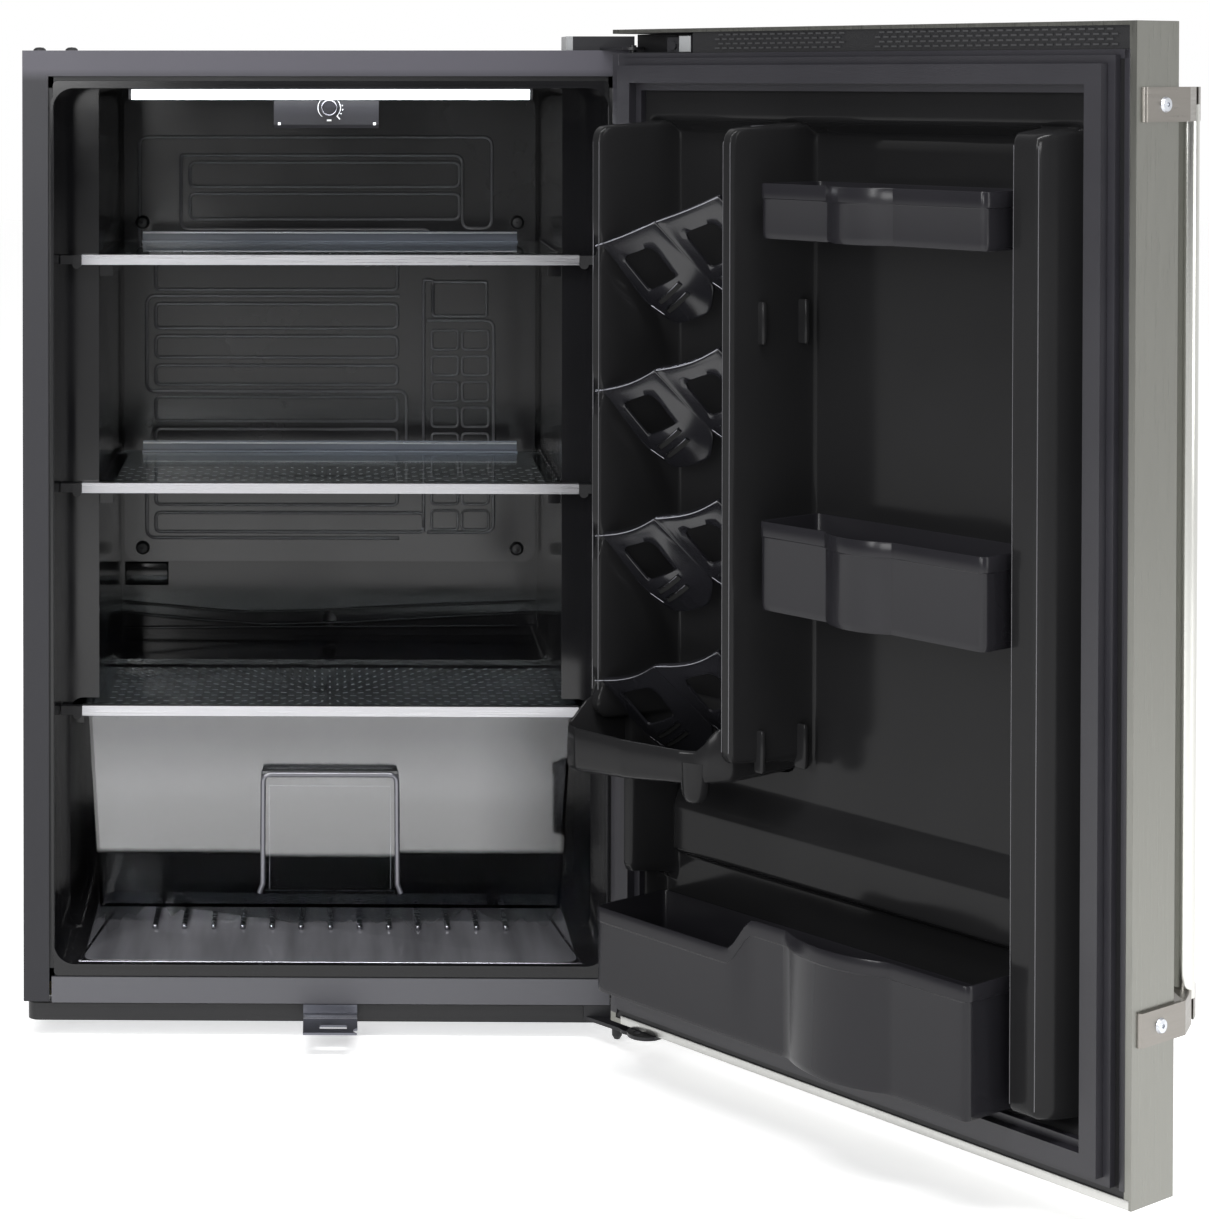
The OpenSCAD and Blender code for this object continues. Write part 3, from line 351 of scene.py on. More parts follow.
# ---------- mesh helpers: all sizes in millimetres, in a frame such as DOOR or CABINET ----------

def step(low, high, x):
    """Smooth rise from 0 to 1 between low and high."""
    t = min(1, max(0, (x - low) / (high - low)))
    return t * t * (3 - 2 * t)


def plateau(a, b, c, d, x):
    """Rises from a to b, stays at 1, and falls from c to d."""
    return step(a, b, x) * (1 - step(c, d, x))


def add_piece(name, points, faces, place, material, body, smooth=40):
    """A mesh of [x, y, z] points in millimetres that rides on a body."""
    mesh = bpy.data.meshes.new(name)
    scale = place @ Matrix.Scale(MM, 4)
    mesh.from_pydata([scale @ Vector(p) for p in points], [], faces)
    build = bmesh.new()
    build.from_mesh(mesh)
    bmesh.ops.recalc_face_normals(build, faces=build.faces)
    build.to_mesh(mesh)
    build.free()
    mesh.materials.append(material)
    if smooth:
        mesh.set_sharp_from_angle(angle=math.radians(smooth))
        for polygon in mesh.polygons:
            polygon.use_smooth = True
    obj = bpy.data.objects.new(name, mesh)
    bpy.context.scene.collection.objects.link(obj)
    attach(obj, body)
    return obj


def grid_faces(rows, columns, wrap_rows=False, wrap_columns=False):
    faces = []
    for i in range(rows if wrap_rows else rows - 1):
        for j in range(columns if wrap_columns else columns - 1):
            k, m = (i + 1) % rows, (j + 1) % columns
            faces.append((i * columns + j, i * columns + m, k * columns + m, k * columns + j))
    return faces


def loft(name, rings, place, material, body, caps=True, smooth=40):
    """Skin over closed rings of equal point counts."""
    points = [p for ring in rings for p in ring]
    count = len(rings[0])
    faces = grid_faces(len(rings), count, wrap_columns=True)
    if caps:
        faces.append(tuple(range(count)))
        faces.append(tuple(range(len(points) - count, len(points))))
    return add_piece(name, points, faces, place, material, body, smooth)


def round_path(corners, radii, closed=True, pieces=6):
    """2-D outline with its corners rounded; one radius for each corner."""
    points = []
    count = len(corners)
    for i, corner in enumerate(corners):
        radius = radii[i] if isinstance(radii, (list, tuple)) else radii
        if not closed and i in (0, count - 1) or radius <= 0:
            points.append(tuple(corner))
            continue
        here = Vector(corner)
        back = (Vector(corners[i - 1]) - here).normalized()
        ahead = (Vector(corners[(i + 1) % count]) - here).normalized()
        angle = back.angle(ahead)
        reach = radius / math.tan(angle / 2)
        start, end = here + back * reach, here + ahead * reach
        for k in range(pieces + 1):
            t = k / pieces
            p = start.lerp(here, t).lerp(here.lerp(end, t), t)
            points.append((p.x, p.y))
    return points


def offset(outline, distance):
    """A closed anticlockwise outline moved outwards by a distance."""
    moved = []
    count = len(outline)
    for i in range(count):
        a, b, c = (Vector(outline[k % count]) for k in (i - 1 + count, i, i + 1))
        before, after = (b - a).normalized(), (c - b).normalized()
        normal = Vector((before.y + after.y, -before.x - after.x))
        if normal.length < 1e-6:
            normal = Vector((after.y, -after.x))
        normal.normalize()
        stretch = 1 / max(0.5, normal.dot(Vector((after.y, -after.x))))
        moved.append((b.x + normal.x * distance * stretch, b.y + normal.y * distance * stretch))
    return moved


def slab(name, outline, low, high, place, material, body, edge=1.0, axis="z"):
    """Plate with a closed outline and softened edges, between two levels of one axis."""
    def put(p, level):
        if axis == "z":
            return (p[0], p[1], level)
        if axis == "y":
            return (p[0], level, p[1])
        return (level, p[0], p[1])

    rings = []
    for level, inset in ((low, edge), (low + edge * 0.3, edge * 0.3), (low + edge, 0)):
        rings.append([put(p, level) for p in offset(outline, -inset)])
    for level, inset in ((high - edge, 0), (high - edge * 0.3, edge * 0.3), (high, edge)):
        rings.append([put(p, level) for p in offset(outline, -inset)])
    return loft(name, rings, place, material, body)


def box(name, lo, hi, place, material, body, edge=0.8, radius=1.2):
    outline = round_path([(lo[0], lo[1]), (hi[0], lo[1]), (hi[0], hi[1]), (lo[0], hi[1])], radius)
    return slab(name, outline, lo[2], hi[2], place, material, body, edge)


def bead(name, path, radius, place, material, body, sides=8, closed=False, squash=1.0):
    """Tube along a 3-D path; squash flattens it along y."""
    points = []
    count = len(path)
    for i, p in enumerate(path):
        here = Vector(p)
        a = Vector(path[i - 1]) if i or closed else here
        b = Vector(path[(i + 1) % count]) if i < count - 1 or closed else here
        along = (b - a).normalized()
        side = along.cross(Vector((0, 1, 0)))
        side = side.normalized() if side.length > 1e-6 else Vector((1, 0, 0))
        up = side.cross(along).normalized()
        for k in range(sides):
            angle = 2 * math.pi * k / sides
            offset_by = side * radius * math.cos(angle) + up * radius * squash * math.sin(angle)
            points.append(tuple(here + offset_by))
    faces = grid_faces(count, sides, wrap_rows=closed, wrap_columns=True)
    if not closed:
        faces.append(tuple(range(sides)))
        faces.append(tuple(range(len(points) - sides, len(points))))
    return add_piece(name, points, faces, place, material, body, smooth=60)


def quads(name, cells, place, material, body):
    """Many small flat four-cornered marks as one piece."""
    points = [p for cell in cells for p in cell]
    faces = [tuple(range(4 * k, 4 * k + 4)) for k in range(len(cells))]
    return add_piece(name, points, faces, place, material, body, smooth=0)


def join(name, objects):
    """Several pieces of one body as one piece."""
    first = objects[0]
    build = bmesh.new()
    for obj in objects:
        build.from_mesh(obj.data)
    build.to_mesh(first.data)
    build.free()
    first.name = name
    for obj in objects[1:]:
        bpy.data.objects.remove(obj)
    return first


# ---------- door liner ----------

RACK_COUNT = 4
RACK_LOW_Z = 331
RACK_PITCH = 118
RACK_TIPS = [RACK_LOW_Z + i * RACK_PITCH for i in range(RACK_COUNT)]
SAG = [6, 5, 4, 1]
LUG_Z = [299, 632]


def dyke(z, z0, z1, top, base=-16.0, radius=14):
    """Height of a ridge along z: rounded ends between z0 and z1."""
    if z <= z0 - 4 or z >= z1 + 4:
        return base
    rise = top
    for gap in (z - z0, z1 - z):
        if gap < radius:
            g = max(0, gap)
            rise = min(rise, top - radius + math.sqrt(max(0, radius ** 2 - (radius - g) ** 2)))
    return base + (rise - base) * step(z0 - 4, z0 + 1, z) * (1 - step(z1 - 1, z1 + 4, z))


def door_surface(u, z):
    """How far the moulded door liner stands out at a point, in millimetres."""
    pocket = plateau(41, 52, 472, 483, u) * plateau(69, 82, 775, 791, z)
    w = 0.2 - 15.2 * pocket
    waves = sum(math.exp(-((z - tip + 2) / 9) ** 2) for tip in RACK_TIPS)
    left = max(dyke(z, 300, 784, 67 - 5 * waves), dyke(z, 167, 320, 30, radius=10))
    w = max(w, -16 + (left + 16) * plateau(40.5, 46.5, 53.5, 66, u))
    centre = dyke(z, 288, 784, 69)
    w = max(w, -16 + (centre + 16) * plateau(183, 194, 201, 215, u))
    right = dyke(z, 80, 784, 31, radius=10)
    w = max(w, -16 + (right + 16) * plateau(435.5, 441.5, 463, 484, u))
    ledge = plateau(180, 190, 222, 256, z) * plateau(60, 74, 430, 440, u)
    w = max(w, -16 + 16 * ledge)
    return w


def fine_lines(low, high, coarse, spots, fine=1.2, reach=9):
    """Grid lines, closer together near the given spots."""
    lines = []
    x = low
    while x < high:
        lines.append(x)
        x += fine if any(abs(x - s) < reach for s in spots) else coarse
    return lines + [high]


def make_door_liner():
    us = fine_lines(8, 515, 5, [46, 50, 60, 188, 197, 208, 438, 478])
    zs = fine_lines(41.6, 838.4, 6, [74, 82, 184, 296, 306, 150, 222, 248, 780, 788], 1.5, 8)
    for tip in RACK_TIPS:
        zs = sorted(set(zs + [tip + k * 3 for k in range(-6, 6)]))
    points = [(u, door_surface(u, z), z) for z in zs for u in us]
    sheet = add_piece(
        "door_liner_surface", points, grid_faces(len(zs), len(us)), DOOR, DOOR_LINER, "door", smooth=75,
    )
    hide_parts("door_liner")


def tray_rim(p):
    """The tray's wall is low in front and sweeps up to the ridges at both ends."""
    if p[1] < 60:
        return 318
    side = max(1 - step(50, 62, p[0]), step(176, 192, p[0]))
    return 299 + 19 * side * (1 - step(66, 96, p[1]))


def tray_foot(p):
    return 262 + 0.085 * (p[0] - 50)


def make_can_tray():
    outline = round_path(
        [(44, -12), (199, -12), (199, 61), (186, 77), (165, 88), (112, 97.5), (60, 98.5), (44, 93)],
        [2, 2, 9, 10, 16, 30, 12, 7],
    )
    outline = subdivide(outline, 5)

    def ring(inset, level):
        return [(q[0], q[1], level(p)) for p, q in zip(outline, offset(outline, -inset))]

    rings = [
        ring(8, tray_foot),
        ring(4, lambda p: tray_foot(p) + 0.8),
        ring(1.4, lambda p: tray_foot(p) + 3),
        ring(0.2, lambda p: tray_foot(p) + 7),
        ring(0, lambda p: tray_foot(p) + 12),
        ring(0, lambda p: tray_rim(p) - 2.2),
        ring(0.7, lambda p: tray_rim(p) - 0.6),
        ring(1.8, tray_rim),
        ring(3.0, lambda p: tray_rim(p) - 1.2),
        ring(3.6, lambda p: tray_foot(p) + 12),
        ring(6, lambda p: tray_foot(p) + 6),
    ]
    loft("can_tray", rings, DOOR, DOOR_LINER, "door", smooth=60)
    spout = []
    for z, r in ((257, 1.5), (257.5, 5), (259.5, 8), (263, 10), (268, 11), (276, 11.5), (290, 12)):
        spout.append([
            (172 + r * math.cos(k * math.pi / 12), 75 + r * math.sin(k * math.pi / 12), z) for k in range(24)
        ])
    loft("can_tray_spout", spout, DOOR, DOOR_LINER, "door", smooth=60)


def make_lugs():
    """Small upright ribs that carry a bin, on the wall of the middle ridge."""
    look = (DOOR, DOOR_LINER, "door", 2.4)
    for i, z in enumerate(LUG_Z):
        box(f"lug_outer_{i + 1}", (202, 37.5, z - 17), (212, 42.5, z + 17), *look, 2.4)
        box(f"lug_inner_{i + 1}", (206, -3.5, z - 18), (219, 2, z + 18), *look, 2.6)


# ---------- door bins ----------

BIN_BACK = -14.2
BIN_BAND = 11.5

def bin_outline(u0, u1, out, b0, b1, bulge):
    """Anticlockwise outline of a bin, with a bowed front between b0 and b1."""
    chord = (b1 - b0) / 2
    radius = (chord ** 2 + bulge ** 2) / (2 * bulge)
    middle = ((b0 + b1) / 2, out + bulge - radius)
    sweep = math.asin(chord / radius)
    arc = []
    for k in range(13):
        angle = math.pi / 2 - sweep + 2 * sweep * k / 12
        arc.append((middle[0] + radius * math.cos(angle), middle[1] + radius * math.sin(angle)))
    corners = [(arc[-1][0], out), (u0, out), (u0, BIN_BACK), (u1, BIN_BACK), (u1, out), (arc[0][0], out)]
    return round_path(corners, 7, False)[1:-1] + arc


def subdivide(outline, longest):
    points = []
    for i, p in enumerate(outline):
        q = outline[(i + 1) % len(outline)]
        a, b = Vector(p), Vector(q)
        parts = max(1, int((b - a).length / longest))
        for k in range(parts):
            c = a.lerp(b, k / parts)
            points.append((c.x, c.y))
    return points


def make_bin(name, node, body, u0, u1, out, z0, top, b0, b1, bulge, wall=2.2):
    """A bin with a rounded underside and a raised band along its rim; top gives the rim's height."""
    outline = subdivide(bin_outline(u0, u1, out, b0, b1, bulge), 6)

    def ring(inset, level):
        return [(q[0], q[1], level(p)) for p, q in zip(outline, offset(outline, -inset))]

    rings = [
        ring(5.0, lambda p: z0),
        ring(2.0, lambda p: z0 + 0.7),
        ring(1.3, lambda p: z0 + 2.6),
        ring(1.0, lambda p: z0 + 6),
        ring(1.0, lambda p: top(p) - BIN_BAND - 1.2),
        ring(0.75, lambda p: top(p) - BIN_BAND - 0.4),
        ring(0.1, lambda p: top(p) - BIN_BAND + 0.2),
        ring(0.0, lambda p: top(p) - BIN_BAND + 1.2),
        ring(0.0, lambda p: top(p) - 0.9),
        ring(0.5, lambda p: top(p)),
        ring(wall - 0.4, lambda p: top(p)),
        ring(wall, lambda p: top(p) - 0.8),
        ring(wall + 0.6, lambda p: z0 + 6),
        ring(wall + 2.5, lambda p: z0 + 3),
    ]
    piece = loft(name, rings, DOOR, BIN, body, smooth=30)
    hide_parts(node)


def bottom_rim(p):
    """The bottom bin's rim: low near the hinge side, high beyond its step, low again at the back."""
    low, high = 148, 176
    if p[1] < 2:
        return low
    return low + (high - low) * step(196, 226, p[0])


# ---------- can racks ----------

LOBE_W = 73
SLIT_Y = (-66, -76.5)


def rack_outline():
    corners = [(0, 0), (LOBE_W, 0), (LOBE_W, -74), (54, -93), (12, -93), (0, -78)]
    return round_path(corners, [1.5, 1.5, 12, 16, 12, 12], pieces=8)


def ray_to(outline, centre, angle):
    """Where a ray from the centre meets an outline."""
    ray = Vector((math.cos(angle), math.sin(angle)))
    best = None
    for i, p in enumerate(outline):
        a, b = Vector(p) - centre, Vector(outline[(i + 1) % len(outline)]) - centre
        edge = b - a
        cross = ray.x * edge.y - ray.y * edge.x
        if abs(cross) < 1e-9:
            continue
        along = (a.x * edge.y - a.y * edge.x) / cross
        share = (a.x * ray.y - a.y * ray.x) / cross
        if along > 0 and -1e-6 <= share <= 1 + 1e-6 and (best is None or along > best):
            best = along
    return centre + ray * best


def rack_shape(x, y, h, lobe, sag):
    """Bends a flat lobe: a hollow across its upper part and a sagging rim."""
    across = math.sin(math.pi * min(1, max(0, x / LOBE_W)))
    hollow = 6 * across * (1 - step(-70, -2, y))
    return Vector((x + lobe * LOBE_W, y - sag * across * step(-16, 0, y), h - hollow))


def rack_lobe(name, turn, lobe, sag):
    """One lobe of a can rack: a plate with a window, built as a closed ring."""
    window = round_path([(14, -56), (51, -52), (51, -19), (15, -19)], [3, 3, 9, 9])
    border = rack_outline()
    centre = Vector((33, -37))
    count = 72
    rims = []
    for k in range(count):
        angle = 2 * math.pi * (k + 0.5) / count
        rims.append((ray_to(border, centre, angle), ray_to(window, centre, angle)))
    levels = [
        (1, 0.8), (1, 2.6), (0.99, 3.4), (0.97, 3.6), (0.93, 3.2),
        (0.7, 3), (0.5, 3), (0.3, 3), (0.03, 3), (0, 2.6),
        (0, 0.6), (0.03, 0.1), (0.3, 0), (0.5, 0), (0.7, 0), (0.93, -0.2), (0.97, -0.4), (0.99, -0.2),
    ]
    points = []
    for share, h in levels:
        for outer, inner in rims:
            p = inner.lerp(outer, share)
            points.append(tuple(turn @ rack_shape(p.x, p.y, h, lobe, sag)))
    faces = grid_faces(len(levels), count, wrap_rows=True, wrap_columns=True)
    return add_piece(name, points, faces, DOOR, RACK, "door", 40)


def add_rack_painted_light(name, turn, lobe, sag):
    """Painted light on a lobe: highlight beads along its rim, its foot and the edges of its two slits, and
    dark quads of painted shade in the slits.
    """
    def place(x, y, h):
        return tuple(turn @ rack_shape(x, y, h, lobe, sag))

    rim = [place(1 + k * (LOBE_W - 2) / 12, -0.4, 0.4) for k in range(13)]
    edges = [bead(name, rim, 0.8, DOOR, EDGE_HIGHLIGHT_METAL, "door")]
    foot = [place(2 + k, -70 - k * 1.9, 0) for k in range(7)]
    edges.append(bead(name + "_f", foot, 0.5, DOOR, EDGE_HIGHLIGHT_METAL, "door"))
    for y in SLIT_Y:
        line = [place(16 + 34 * k / 6, y + 10 * k / 6, -1.4) for k in range(7)]
        edges.append(bead(name + "_s", line, 0.6, DOOR, EDGE_HIGHLIGHT_METAL, "door"))
    join(name, edges)
    # Dark quads in the slits: painted shade.
    slits = []
    for y in SLIT_Y:
        for k in range(6):
            x0, x1 = 16 + 34 * k / 6, 16 + 34 * (k + 1) / 6
            y0, y1 = y + 10 * k / 6, y + 10 * (k + 1) / 6
            corners = [(x0, y0), (x1, y1), (x1 + 1, y1 - 4), (x0 + 1, y0 - 4)]
            slits.append([place(*corner, -1) for corner in corners])
    quads(name + "_slits", slits, DOOR, SLIT_PAINTED_SHADE, "door")


def make_can_racks():
    for i, tip in enumerate(RACK_TIPS):
        turn = (
            Matrix.Translation((46, 64, tip))
            @ Matrix.Rotation(-math.radians(18), 4, "Y")
            @ Matrix.Rotation(math.radians(48), 4, "X")
        )
        for lobe in range(2):
            rack_lobe(f"can_rack_{i + 1}_{lobe + 1}", turn, lobe, SAG[i])
            add_rack_painted_light(f"can_rack_edge_{i + 1}_{lobe + 1}", turn, lobe, SAG[i])
    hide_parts("can_racks")


def make_ridge_painted_glints():
    """Painted highlights: lighter beads along the edges of the three ridges, and trim-metal beads at their
    top ends.
    """
    lines = []
    for u, w, low, high in (
        (47.2, 66.6, 325, 770), (53.8, 66.6, 325, 770), (201.2, 68.6, 300, 772),
        (194, 68.6, 300, 772), (441.6, 30.6, 88, 774), (463.4, 30.6, 88, 774),
    ):
        lines.append(bead("ridge", [(u, w, low), (u, w, high)], 0.45, DOOR, PAINTED_GLINT, "door"))
    for u in (52, 200):
        lines.append(bead("ridge", [(u, 44, 784), (u, 30, 784.3), (u, 8, 784.3)], 0.8, DOOR, TRIM_AND_HIGHLIGHT, "door"))
        curve = [(u - 3, 66, 770), (u - 3, 64, 777), (u - 3, 58, 781.5)]
        lines.append(bead("ridge", curve, 0.8, DOOR, TRIM_AND_HIGHLIGHT, "door"))
    join("ridge_painted_glints", lines)


make_door_liner()
make_can_tray()
make_lugs()
make_bin("bin_top_shell", "bin_top", "bin_upper", 216.5, 435, 53.5, 698, lambda p: 741, 285, 350, 12)
make_bin("bin_middle_shell", "bin_middle", "bin_centre", 216.5, 435, 53.5, 412, lambda p: 481, 285, 350, 12)
make_bin("bin_bottom_shell", "bin_bottom", "bin_lower", 50, 433, 67, 78, bottom_rim, 260, 358, 14)
make_can_racks()
make_ridge_painted_glints()


# ---------- evaporator relief and back wall ----------

EVAP_FACE = 401


def flat_path(corners, radius, closed):
    """Rounded path on the evaporator's face, from [x, z] corners."""
    return [(x, EVAP_FACE - 0.2, z) for x, z in round_path(corners, radius, closed, 5)]


def relief(name, corners, radius=6, closed=True, width=1.7):
    # The channel beads take the lighter colour: painted highlight.
    return bead(name, flat_path(corners, radius, closed), width, CABINET, RELIEF_PAINTED_HIGHLIGHT, "cabinet", 8, closed, 0.75)


def make_evaporator_relief():
    loops = []
    left, right = -172, 67
    outer = [(-188, 640), (-188, 763), (160, 763), (160, 673), (131, 673), (131, 745), (-147, 745)]
    loops.append(relief("relief_outer", outer, 9, False))
    loops.append(relief("relief_a", [(-138, 738), (128, 738), (128, 714), (-138, 714)], 6))
    loops.append(relief("relief_b", [(-138, 707), (128, 707), (128, 682), (-138, 682)], 6))
    loops.append(relief("relief_c", [(-147, 745), (-147, 672), (100, 672), (100, 655)], 9, False))
    rows = [
        (640, 612), (598, 574), (566, 545), (537, 518), (506, 482),
        (474, 458), (446, 424), (416, 399), (391, 372),
    ]
    for i, (high, low) in enumerate(rows):
        end = right if i < len(rows) - 1 else 93
        loops.append(relief(f"relief_row_{i + 1}", [(left, high), (end, high), (end, low), (left, low)], 5))
    edges = [(606, 511), (512, 452), (452, 366)]
    for i, (high, low) in enumerate(edges):
        side = (left - 9, right + 9)[i == 1]
        other = (right + 2, left - 2)[i == 1]
        bracket = [(other, high), (side, high), (side, low), (other, low)]
        loops.append(relief(f"relief_edge_{i + 1}", bracket, 9, False))
    loops.append(relief("relief_channel", [(93, 372), (93, 622), (102, 622), (102, 590)], 3, False))
    loops.append(relief("relief_blank", [(102, 620), (155, 620), (155, 586), (102, 586)], 3))
    loops.append(relief("relief_frame", [(96, 372), (162, 372), (162, 582), (96, 582)], 9, False))
    for i in range(8):
        z = 572 - i * 25.5
        for j, x in enumerate((101, 131)):
            cell = [(x, z), (x + 26, z), (x + 26, z - 19), (x, z - 19)]
            loops.append(relief(f"relief_cell_{i}_{j}", cell, 4, True, 1.4))
    join("evaporator_relief", loops)


def make_back_wall():
    upper = [(-204, 301), (-150, 296), (-89, 290.5), (-20, 292), (90, 298), (203, 302)]
    middle = [(-204, 290), (-120, 282.5), (-62, 278.5), (20, 281), (120, 287), (203, 291)]
    lower = [(-204, 275), (203, 278)]
    ridges = []
    for i, (line, depth, radius) in enumerate(((upper, 408, 1.6), (middle, 408, 1.6), (lower, 407.5, 1.4))):
        path = [(x, depth, z) for x, z in line]
        ridges.append(bead(f"wall_line_{i + 1}", path, radius, CABINET, LINER, "cabinet"))
    join("back_wall_lines", ridges)
    box("wall_pad", (-203, 405.5, 318), (-160, 409, 340), CABINET, LINER, "cabinet", 1.2, 2)


def make_floor_ribs():
    # The ribs use the lighter highlight metal on the black liner floor: painted highlights.
    ribs = []
    for i in range(13):
        x = -158 + i * 26
        lo, hi = (x, 100, 63.4), (x + 5, 186, 68.5)
        ribs.append(box(f"floor_rib_{i}", lo, hi, CABINET, EDGE_HIGHLIGHT_METAL, "cabinet", 2.0, 2.2))
    join("floor_ribs", ribs)


make_evaporator_relief()
make_back_wall()
make_floor_ribs()


# ---------- trims, prints and seals ----------

def frame_ring(name, x0, x1, z0, z1, width, d0, d1, place, material, body):
    """Rectangular ring facing the front."""
    parts = [
        box(name + "_1", (x0, d0, z0), (x0 + width, d1, z1), place, material, body, 0.1, 0.1),
        box(name + "_2", (x1 - width, d0, z0), (x1, d1, z1), place, material, body, 0.1, 0.1),
        box(name + "_3", (x0, d0, z0), (x1, d1, z0 + width), place, material, body, 0.1, 0.1),
        box(name + "_4", (x0, d0, z1 - width), (x1, d1, z1), place, material, body, 0.1, 0.1),
    ]
    join(name, parts)


def in_mm(node):
    """A node's box in the cabinet's frame, in millimetres."""
    lo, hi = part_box(node)
    return (
        [lo.x / MM, (lo.y - FRONT) / MM, lo.z / MM],
        [hi.x / MM, (hi.y - FRONT) / MM, hi.z / MM],
    )


def make_seals():
    lo, hi = in_mm("liner")
    lap = 6
    frame_ring(
        "flange_seal", lo[0] - lap, hi[0] + lap, lo[2] - lap, hi[2] + lap, 12, 2.7, 3.25,
        CABINET, BLACK, "cabinet",
    )
    box("door_edge_trim", (0.4, -1.2, 36), (7.6, 0.5, 842), DOOR, RUBBER, "door", 0.2, 0.3)
    box("door_free_edge_trim", (513, -1.2, 40), (517.5, 0.35, 842), DOOR, RUBBER, "door", 0.2, 0.3)
    box("door_top_trim", (7, -1.2, 835.5), (517, 0.35, 842), DOOR, RUBBER, "door", 0.2, 0.3)
    # The door's bottom lip uses the lighter stainless: painted highlight.
    box("door_foot_lip", (12, -1, 28.1), (521, 0.35, 35), DOOR, STAINLESS_LIP_LIT, "door", 0.2, 0.3)


def glass_marks(name, node, body, pitch, rows, length, centre):
    """Short printed dashes that radiate from a point near the front of a glass plate."""
    lo, hi = in_mm(node)
    cells = []
    for row in range(rows):
        y = lo[1] + 14 + row * pitch
        for column in range(-14, 15):
            x = column * 14 + (7 if row % 2 else 0)
            if abs(x) > hi[0] - 14:
                continue
            away = Vector((x - centre[0], y - lo[1] - centre[1]))
            along = away.normalized() if away.length > 1 else Vector((1, 0))
            side = Vector((-along.y, along.x)) * 0.75
            a, b = Vector((x, y)) - along * length / 2, Vector((x, y)) + along * length / 2
            z = hi[2] + 0.15
            cells.append([(*(a + side), z), (*(b + side), z), (*(b - side), z), (*(a - side), z)])
    return quads(name, cells, CABINET, FROST, body)


def make_shelf_details():
    glass_marks("cover_print", "cover_glass", "crisper_cover", 12, 14, 5.5, (0, 52))
    glass_marks("shelf_1_print", "shelf_1_glass", "shelf_upper", 16, 3, 5, (0, 40))
    glass_marks("shelf_2_print", "shelf_2_glass", "shelf_lower", 14, 8, 5, (0, 40))
    for node, body in (("shelf_1_lip", "shelf_upper"), ("shelf_2_lip", "shelf_lower")):
        lo, hi = in_mm(node)
        # A trim-metal bead along the top of each shelf lip: painted highlight.
        path = [(lo[0] + 1, lo[1] - 0.2, hi[2] - 0.6), (hi[0] - 1, lo[1] - 0.2, hi[2] - 0.6)]
        bead(node + "_highlight_line", path, 0.9, CABINET, TRIM_AND_HIGHLIGHT, body)
    for i, node in enumerate(("shelf_1_glass", "shelf_2_glass")):
        lo, hi = in_mm(node)
        combs = []
        for side in (-1, 1):
            for k in range(10):
                y = lo[1] + 30 + k * 22
                x0, x1 = sorted((side * (hi[0] - 3), side * (hi[0] + 11)))
                low, high = (x0, y, hi[2] - 1), (x1, y + 4, hi[2] + 3)
                combs.append(box(f"comb_{i}_{side}_{k}", low, high, CABINET, LINER, "cabinet", 1.2, 1.4))
        join(f"rail_comb_{i + 1}", combs)


def arc(x, z, radius, start, end, y, count=28):
    points = []
    for k in range(count + 1):
        angle = math.radians(start + (end - start) * k / count)
        points.append((x + radius * math.cos(angle), y, z + radius * math.sin(angle)))
    return points


def make_thermostat_marks():
    lo, hi = in_mm("thermostat_housing")
    klo, khi = in_mm("thermostat_knob")
    x, z = (klo[0] + khi[0]) / 2, (klo[2] + khi[2]) / 2
    face = lo[1] - 0.1
    marks = [bead("dial_arc", arc(x, z, 9.8, 232, -48, face), 0.3, CABINET, PRINT, "cabinet")]
    arc_end = [(x + 6.6, face, z - 7.3), (x + 9.4, face, z - 10)]
    marks.append(bead("dial_arc_end", arc_end, 0.4, CABINET, PRINT, "cabinet"))
    for k, (dx, dz) in enumerate(((11.4, 1.9), (11.6, -1.7), (10.3, -5.2), (8.1, -8.4))):
        dot = [(x + dx - 0.5, face, z + dz), (x + dx + 0.5, face, z + dz)]
        marks.append(bead(f"dial_dot_{k}", dot, 0.5, CABINET, PRINT, "cabinet"))
    bar = [(x - 2, face, z - 10.9), (x + 2, face, z - 10.9)]
    marks.append(bead("dial_bar", bar, 0.8, CABINET, PRINT, "cabinet"))
    join("dial_marks", marks)
    # A ring of the lighter highlight metal around the black knob: painted highlight on its rim.
    ring = arc(x, z, 6.4, 0, 348, klo[1] - 0.1, 30)
    bead("knob_ring", ring, 0.55, CABINET, EDGE_HIGHLIGHT_METAL, "thermostat_dial", 8, True)
    for k, tab in enumerate((lo[0] + 5, hi[0] - 3.5)):
        low, high = (tab - 1.5, face - 0.5, lo[2] + 2.5), (tab + 1, face + 0.6, lo[2] + 5)
        box(f"housing_tab_{k}", low, high, CABINET, PRINT, "cabinet", 0.3, 0.4)


def make_crisper_details():
    y = in_mm("crisper_drawer")[0][1] - 0.3
    corners = [(-63, 95), (-60, 103), (-59.5, 201), (59.5, 201), (60, 103), (63, 95)]
    outer = [(p[0], y, p[1]) for p in round_path(corners, [0, 3, 7, 7, 3, 0], False, 6)]
    bead("crisper_grip", outer, 2.5, CABINET, CLEAR_EDGE, "crisper", 10)
    line = [(-54, y + 4, 98), (-54, y + 4, 190), (54, y + 4, 190), (54, y + 4, 98)]
    bead("crisper_grip_line", line, 0.5, CABINET, CLEAR_EDGE, "crisper")


def make_cap_dashes():
    """Rows of plain raised dashes on the top cap."""
    cells = []
    for row in range(4):
        z = 845 + row * 3.6
        for start, end in ((118, 252), (286, 506)):
            u = start + (4 if row % 2 else 0)
            while u < end:
                cells.append([(u, 0.12, z), (u + 5.2, 0.12, z), (u + 5.2, 0.12, z + 1.3), (u, 0.12, z + 1.3)])
                u += 8
    quads("cap_dashes", cells, DOOR, DASH, "door")


